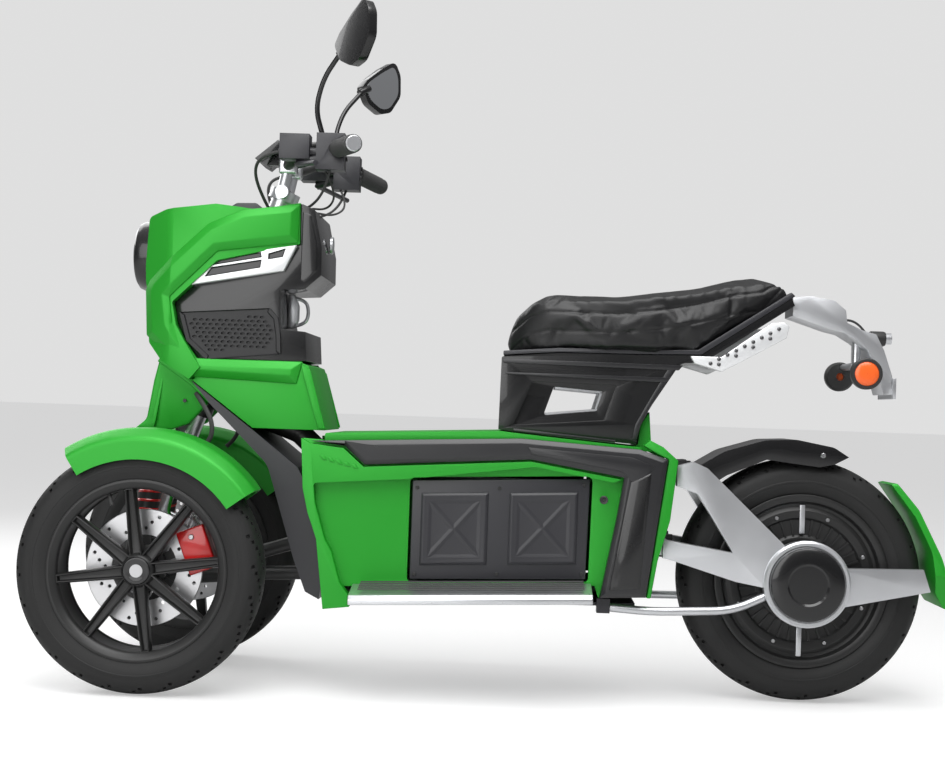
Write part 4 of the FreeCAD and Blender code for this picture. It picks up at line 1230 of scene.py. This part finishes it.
def make_controls():
    refine("hand_controls", "control_pods", 2, 2, black_plastic, "steering")
    rings = []
    start = Vector((328, 146, 1036))
    end = Vector((283, 262, 1027))
    run = end - start
    way = run.normalized()
    for index in range(shape_settings().grip_ring_count):
        middle = start + run * (0.16 + index * 0.05)
        rings.append(rod("grip_ring", middle - way * 1.8, middle + way * 1.8, 17.6, 28))
    end_cap = rod("bar_end", end - way * 2, end + way * 8, 15, 28)
    deliver(both_sides("grip_rings", merge("rings", rings)), grip_rubber(), "steering")
    deliver(both_sides("bar_ends", end_cap), satin_aluminium(), "steering")
    buttons = [
        brick("button", (309, 116 + 12 * index, 1016 + 12 * index),
        (313, 125 + 12 * index, 1025 + 12 * index)) for index in range(3)]
    for button in buttons:
        soften(button, 0.8, 2)
    deliver(
        both_sides("switch_buttons", merge("buttons", buttons)), gloss_black(), "steering")
    hoses = []
    for side in (1, -1):
        hoses.append(
            tube("brake_hose",
            ((430, side * 140, 1030), (470, side * 132, 1026), (500, side * 80, 1000),
             (480, side * 30, 940), (452, side * 18, 905), (448, side * 10, 872)),
            3.2, 8))
        hoses.append(
            tube("switch_wire",
            ((340, side * 132, 1000), (350, side * 118, 958), (392, side * 70, 926),
             (425, side * 34, 940), (440, side * 20, 905), (446, side * 8, 872)),
            2.6, 8))
        hoses.append(
            tube("clutch_wire",
            ((356, side * 124, 1004), (330, side * 96, 962), (352, side * 48, 930),
             (404, side * 26, 938), (428, side * 18, 900), (440, side * 8, 872)),
            2.2, 8))
    deliver(merge("control_hoses", hoses), grip_rubber(), "steering")
    refine("display", "display_case", 2, 3, gloss_black, "steering")
    clamps = []
    for side in (1, -1):
        clamps.append(brick("bar_clamp", (419, side * 32 - 14, 1002), (455, side * 32 + 14, 1034)))
    for clamp in clamps:
        soften(clamp, 5, 3)
    deliver(merge("bar_clamps", clamps), satin_aluminium(), "steering")


def make_suspension():
    """Coil springs round the front shock absorbers and the hose beside the fork."""
    for side, name in SIDES:
        top = Vector((656, side * 62, 493))
        foot = Vector((704, side * 88, 213))
        run = foot - top
        way = run.normalized()
        across = way.cross(Vector((0, 1, 0))).normalized()
        lift = way.cross(across)
        turns = 8
        points = []
        for index in range(turns * 8 + 1):
            angle = index * math.tau / 8
            share = 0.16 + 0.5 * index / (turns * 8)
            points.append(top + run * share + (across * math.cos(angle) + lift * math.sin(angle)) * 21)
        spring = tube(f"spring_{name}", points, 3.8, 8)
        deliver(spring, red_paint(), "frame")
        hose = tube(
            f"front_hose_{name}", ((590, side * 100, 560), (562, side * 128, 530),
            (548, side * 134, 500), (552, side * 130, 470), (572, side * 126, 452)), 4.5, 8)
        deliver(hose, grip_rubber(), "frame")


# ------------------------------------------------------------------ operators

class SCOOTER_OT_frame_finish(bpy.types.Operator):
    """Give every construction part the finish of its material slot"""
    bl_idname = "scooter.frame_finish"
    bl_label = "Finish the frame"

    def execute(self, context):
        for entry in frame["record"]["subparts"]:
            give(frame["nodes"][entry["node"]], FINISHES[entry["material_slot"]]())
        return {"FINISHED"}


class SCOOTER_OT_nose(bpy.types.Operator):
    """The nose, its raised band and the leg shield"""
    bl_idname = "scooter.nose"
    bl_label = "Model the nose"

    def execute(self, context):
        make_nose()
        make_nose_band()
        make_leg_shield()
        return {"FINISHED"}


class SCOOTER_OT_nose_fittings(bpy.types.Operator):
    """The grille, the side lights, the dash and the headlight"""
    bl_idname = "scooter.nose_fittings"
    bl_label = "Model the nose fittings"

    def execute(self, context):
        make_grille()
        make_side_lights()
        make_dash()
        make_headlight()
        return {"FINISHED"}


class SCOOTER_OT_front_wheels(bpy.types.Operator):
    """The front tyres, rims and brakes"""
    bl_idname = "scooter.front_wheels"
    bl_label = "Model the front wheels"

    def execute(self, context):
        make_front_tyres()
        make_front_rims()
        make_brakes()
        return {"FINISHED"}


class SCOOTER_OT_mudguards(bpy.types.Operator):
    """The front mudguards"""
    bl_idname = "scooter.mudguards"
    bl_label = "Model the mudguards"

    def execute(self, context):
        make_mudguards()
        return {"FINISHED"}


class SCOOTER_OT_rear_wheel(bpy.types.Operator):
    """The rear tyre and the hub motor"""
    bl_idname = "scooter.rear_wheel"
    bl_label = "Model the rear wheel"

    def execute(self, context):
        make_rear_wheel()
        return {"FINISHED"}


class SCOOTER_OT_middle(bpy.types.Operator):
    """The side skirts and the dark trim"""
    bl_idname = "scooter.middle"
    bl_label = "Model the middle"

    def execute(self, context):
        make_skirts()
        make_trims()
        return {"FINISHED"}


class SCOOTER_OT_battery_doors(bpy.types.Operator):
    """The two battery doors"""
    bl_idname = "scooter.battery_doors"
    bl_label = "Model the battery doors"

    def execute(self, context):
        make_battery_doors()
        return {"FINISHED"}


class SCOOTER_OT_footboards(bpy.types.Operator):
    """The footboards and their treads"""
    bl_idname = "scooter.footboards"
    bl_label = "Model the footboards"

    def execute(self, context):
        make_footboards()
        return {"FINISHED"}


class SCOOTER_OT_seat(bpy.types.Operator):
    """The seat and its pillar"""
    bl_idname = "scooter.seat"
    bl_label = "Model the seat"

    def execute(self, context):
        make_seat()
        make_seat_post()
        return {"FINISHED"}


class SCOOTER_OT_tail(bpy.types.Operator):
    """The tail bracket and its lamps"""
    bl_idname = "scooter.tail"
    bl_label = "Model the tail"

    def execute(self, context):
        make_tail()
        return {"FINISHED"}


class SCOOTER_OT_rear_end(bpy.types.Operator):
    """The rear arms, the fender and the tail blade"""
    bl_idname = "scooter.rear_end"
    bl_label = "Model the rear end"

    def execute(self, context):
        make_rear_end()
        return {"FINISHED"}


class SCOOTER_OT_steering(bpy.types.Operator):
    """The mirrors and the hand controls"""
    bl_idname = "scooter.steering"
    bl_label = "Model the steering group"

    def execute(self, context):
        make_mirrors()
        make_controls()
        return {"FINISHED"}


class SCOOTER_OT_suspension(bpy.types.Operator):
    """The front springs and hoses"""
    bl_idname = "scooter.suspension"
    bl_label = "Model the suspension"

    def execute(self, context):
        make_suspension()
        return {"FINISHED"}


class SCOOTER_OT_stage(bpy.types.Operator):
    """Camera, lamps, sky and floor"""
    bl_idname = "scooter.stage"
    bl_label = "Set the stage"

    def execute(self, context):
        settings = stage_settings()
        camera_data = bpy.data.cameras.new("camera")
        camera_data.lens = settings.focal_length
        camera = bpy.data.objects.new("camera", camera_data)
        camera.location = settings.camera_place
        camera.rotation_euler = settings.camera_turn
        context.scene.collection.objects.link(camera)
        context.scene.camera = camera
        self.add_lamp(context, "key_lamp", (-0.2, 1.4, 3.2), 3.0, settings.key_power)
        self.add_lamp(context, "back_lamp", (2.2, -1.8, 2.4), 2.4, settings.key_power * 0.35)
        self.add_lamp(context, "fill_lamp", (1.6, 3.2, 1.5), 2.6, settings.key_power * 0.45)
        self.add_sky(context, settings.sky_strength)
        self.add_floor()
        context.scene.view_settings.view_transform = "Standard"
        return {"FINISHED"}

    def add_lamp(self, context, name, place, size, power):
        lamp = bpy.data.lights.new(name, "AREA")
        lamp.energy = power
        lamp.size = size
        holder = bpy.data.objects.new(name, lamp)
        holder.location = place
        aim = Vector((0, 0, 0.5)) - Vector(place)
        holder.rotation_euler = aim.to_track_quat("-Z", "Y").to_euler()
        context.scene.collection.objects.link(holder)

    def add_sky(self, context, strength):
        world = bpy.data.worlds.new("studio")
        context.scene.world = world
        world.use_nodes = True
        tree = world.node_tree
        tree.nodes.clear()
        path = tree.nodes.new("ShaderNodeLightPath")
        lit = tree.nodes.new("ShaderNodeBackground")
        lit.inputs["Strength"].default_value = strength
        way = tree.nodes.new("ShaderNodeTexCoord")
        parts = tree.nodes.new("ShaderNodeSeparateXYZ")
        ramp = tree.nodes.new("ShaderNodeValToRGB")
        ramp.color_ramp.elements[0].position = 0.0
        ramp.color_ramp.elements[0].color = (0.30, 0.30, 0.30, 1)
        ramp.color_ramp.elements[1].position = 1.0
        ramp.color_ramp.elements[1].color = (1.5, 1.5, 1.5, 1)
        low = ramp.color_ramp.elements.new(0.18)
        low.color = (0.45, 0.45, 0.46, 1)
        tree.links.new(way.outputs["Generated"], parts.inputs[0])
        tree.links.new(parts.outputs["Z"], ramp.inputs[0])
        tree.links.new(ramp.outputs["Color"], lit.inputs["Color"])
        seen = tree.nodes.new("ShaderNodeBackground")
        seen.inputs["Color"].default_value = (0.74, 0.74, 0.74, 1)
        mix = tree.nodes.new("ShaderNodeMixShader")
        out = tree.nodes.new("ShaderNodeOutputWorld")
        seen_ray = math_node(
            tree, "MAXIMUM", path.outputs["Is Camera Ray"], path.outputs["Is Transmission Ray"])
        tree.links.new(seen_ray, mix.inputs[0])
        tree.links.new(lit.outputs[0], mix.inputs[1])
        tree.links.new(seen.outputs[0], mix.inputs[2])
        tree.links.new(mix.outputs[0], out.inputs["Surface"])

    def add_floor(self):
        bpy.ops.object.select_all(action="DESELECT")
        bpy.ops.mesh.primitive_plane_add(size=200, location=(0, 0, -0.0005))
        floor = bpy.context.object
        floor.name = "floor"
        bpy.ops.object.transform_apply(location=True, rotation=True, scale=True)
        material = bpy.data.materials.new("floor")
        material.use_nodes = True
        tree = material.node_tree
        shader = tree.nodes["Principled BSDF"]
        shader.inputs["Base Color"].default_value = (0.62, 0.62, 0.62, 1)
        shader.inputs["Roughness"].default_value = 0.35
        shader.inputs["Emission Color"].default_value = (1, 1, 1, 1)
        path = tree.nodes.new("ShaderNodeLightPath")
        glow = math_node(tree, "MULTIPLY", path.outputs["Is Camera Ray"], FLOOR_GLOW)
        tree.links.new(glow, shader.inputs["Emission Strength"])
        give(floor, material)


class SCOOTER_PT_panel(bpy.types.Panel):
    """Lists the steps in the 3D view's sidebar"""
    bl_label = "Three-wheel scooter"
    bl_idname = "SCOOTER_PT_panel"
    bl_space_type = "VIEW_3D"
    bl_region_type = "UI"
    bl_category = "Scooter"

    def draw(self, context):
        for step in STEPS:
            self.layout.operator(step.bl_idname)


STEPS = (
    SCOOTER_OT_frame_finish,
    SCOOTER_OT_nose,
    SCOOTER_OT_nose_fittings,
    SCOOTER_OT_front_wheels,
    SCOOTER_OT_mudguards,
    SCOOTER_OT_rear_wheel,
    SCOOTER_OT_middle,
    SCOOTER_OT_battery_doors,
    SCOOTER_OT_footboards,
    SCOOTER_OT_seat,
    SCOOTER_OT_tail,
    SCOOTER_OT_rear_end,
    SCOOTER_OT_steering,
    SCOOTER_OT_suspension,
    SCOOTER_OT_stage,
)
CLASSES = (ScooterPaint, ScooterShape, ScooterStage) + STEPS + (SCOOTER_PT_panel,)


def register():
    for cls in CLASSES:
        bpy.utils.register_class(cls)
    bpy.types.Scene.scooter_paint = PointerProperty(type=ScooterPaint)
    bpy.types.Scene.scooter_shape = PointerProperty(type=ScooterShape)
    bpy.types.Scene.scooter_stage = PointerProperty(type=ScooterStage)


def unregister():
    del bpy.types.Scene.scooter_stage
    del bpy.types.Scene.scooter_shape
    del bpy.types.Scene.scooter_paint
    for cls in reversed(CLASSES):
        bpy.utils.unregister_class(cls)


def main():
    register()
    for step in STEPS:
        namespace, name = step.bl_idname.split(".")
        getattr(getattr(bpy.ops, namespace), name)()


if __name__ == "__main__":
    main()
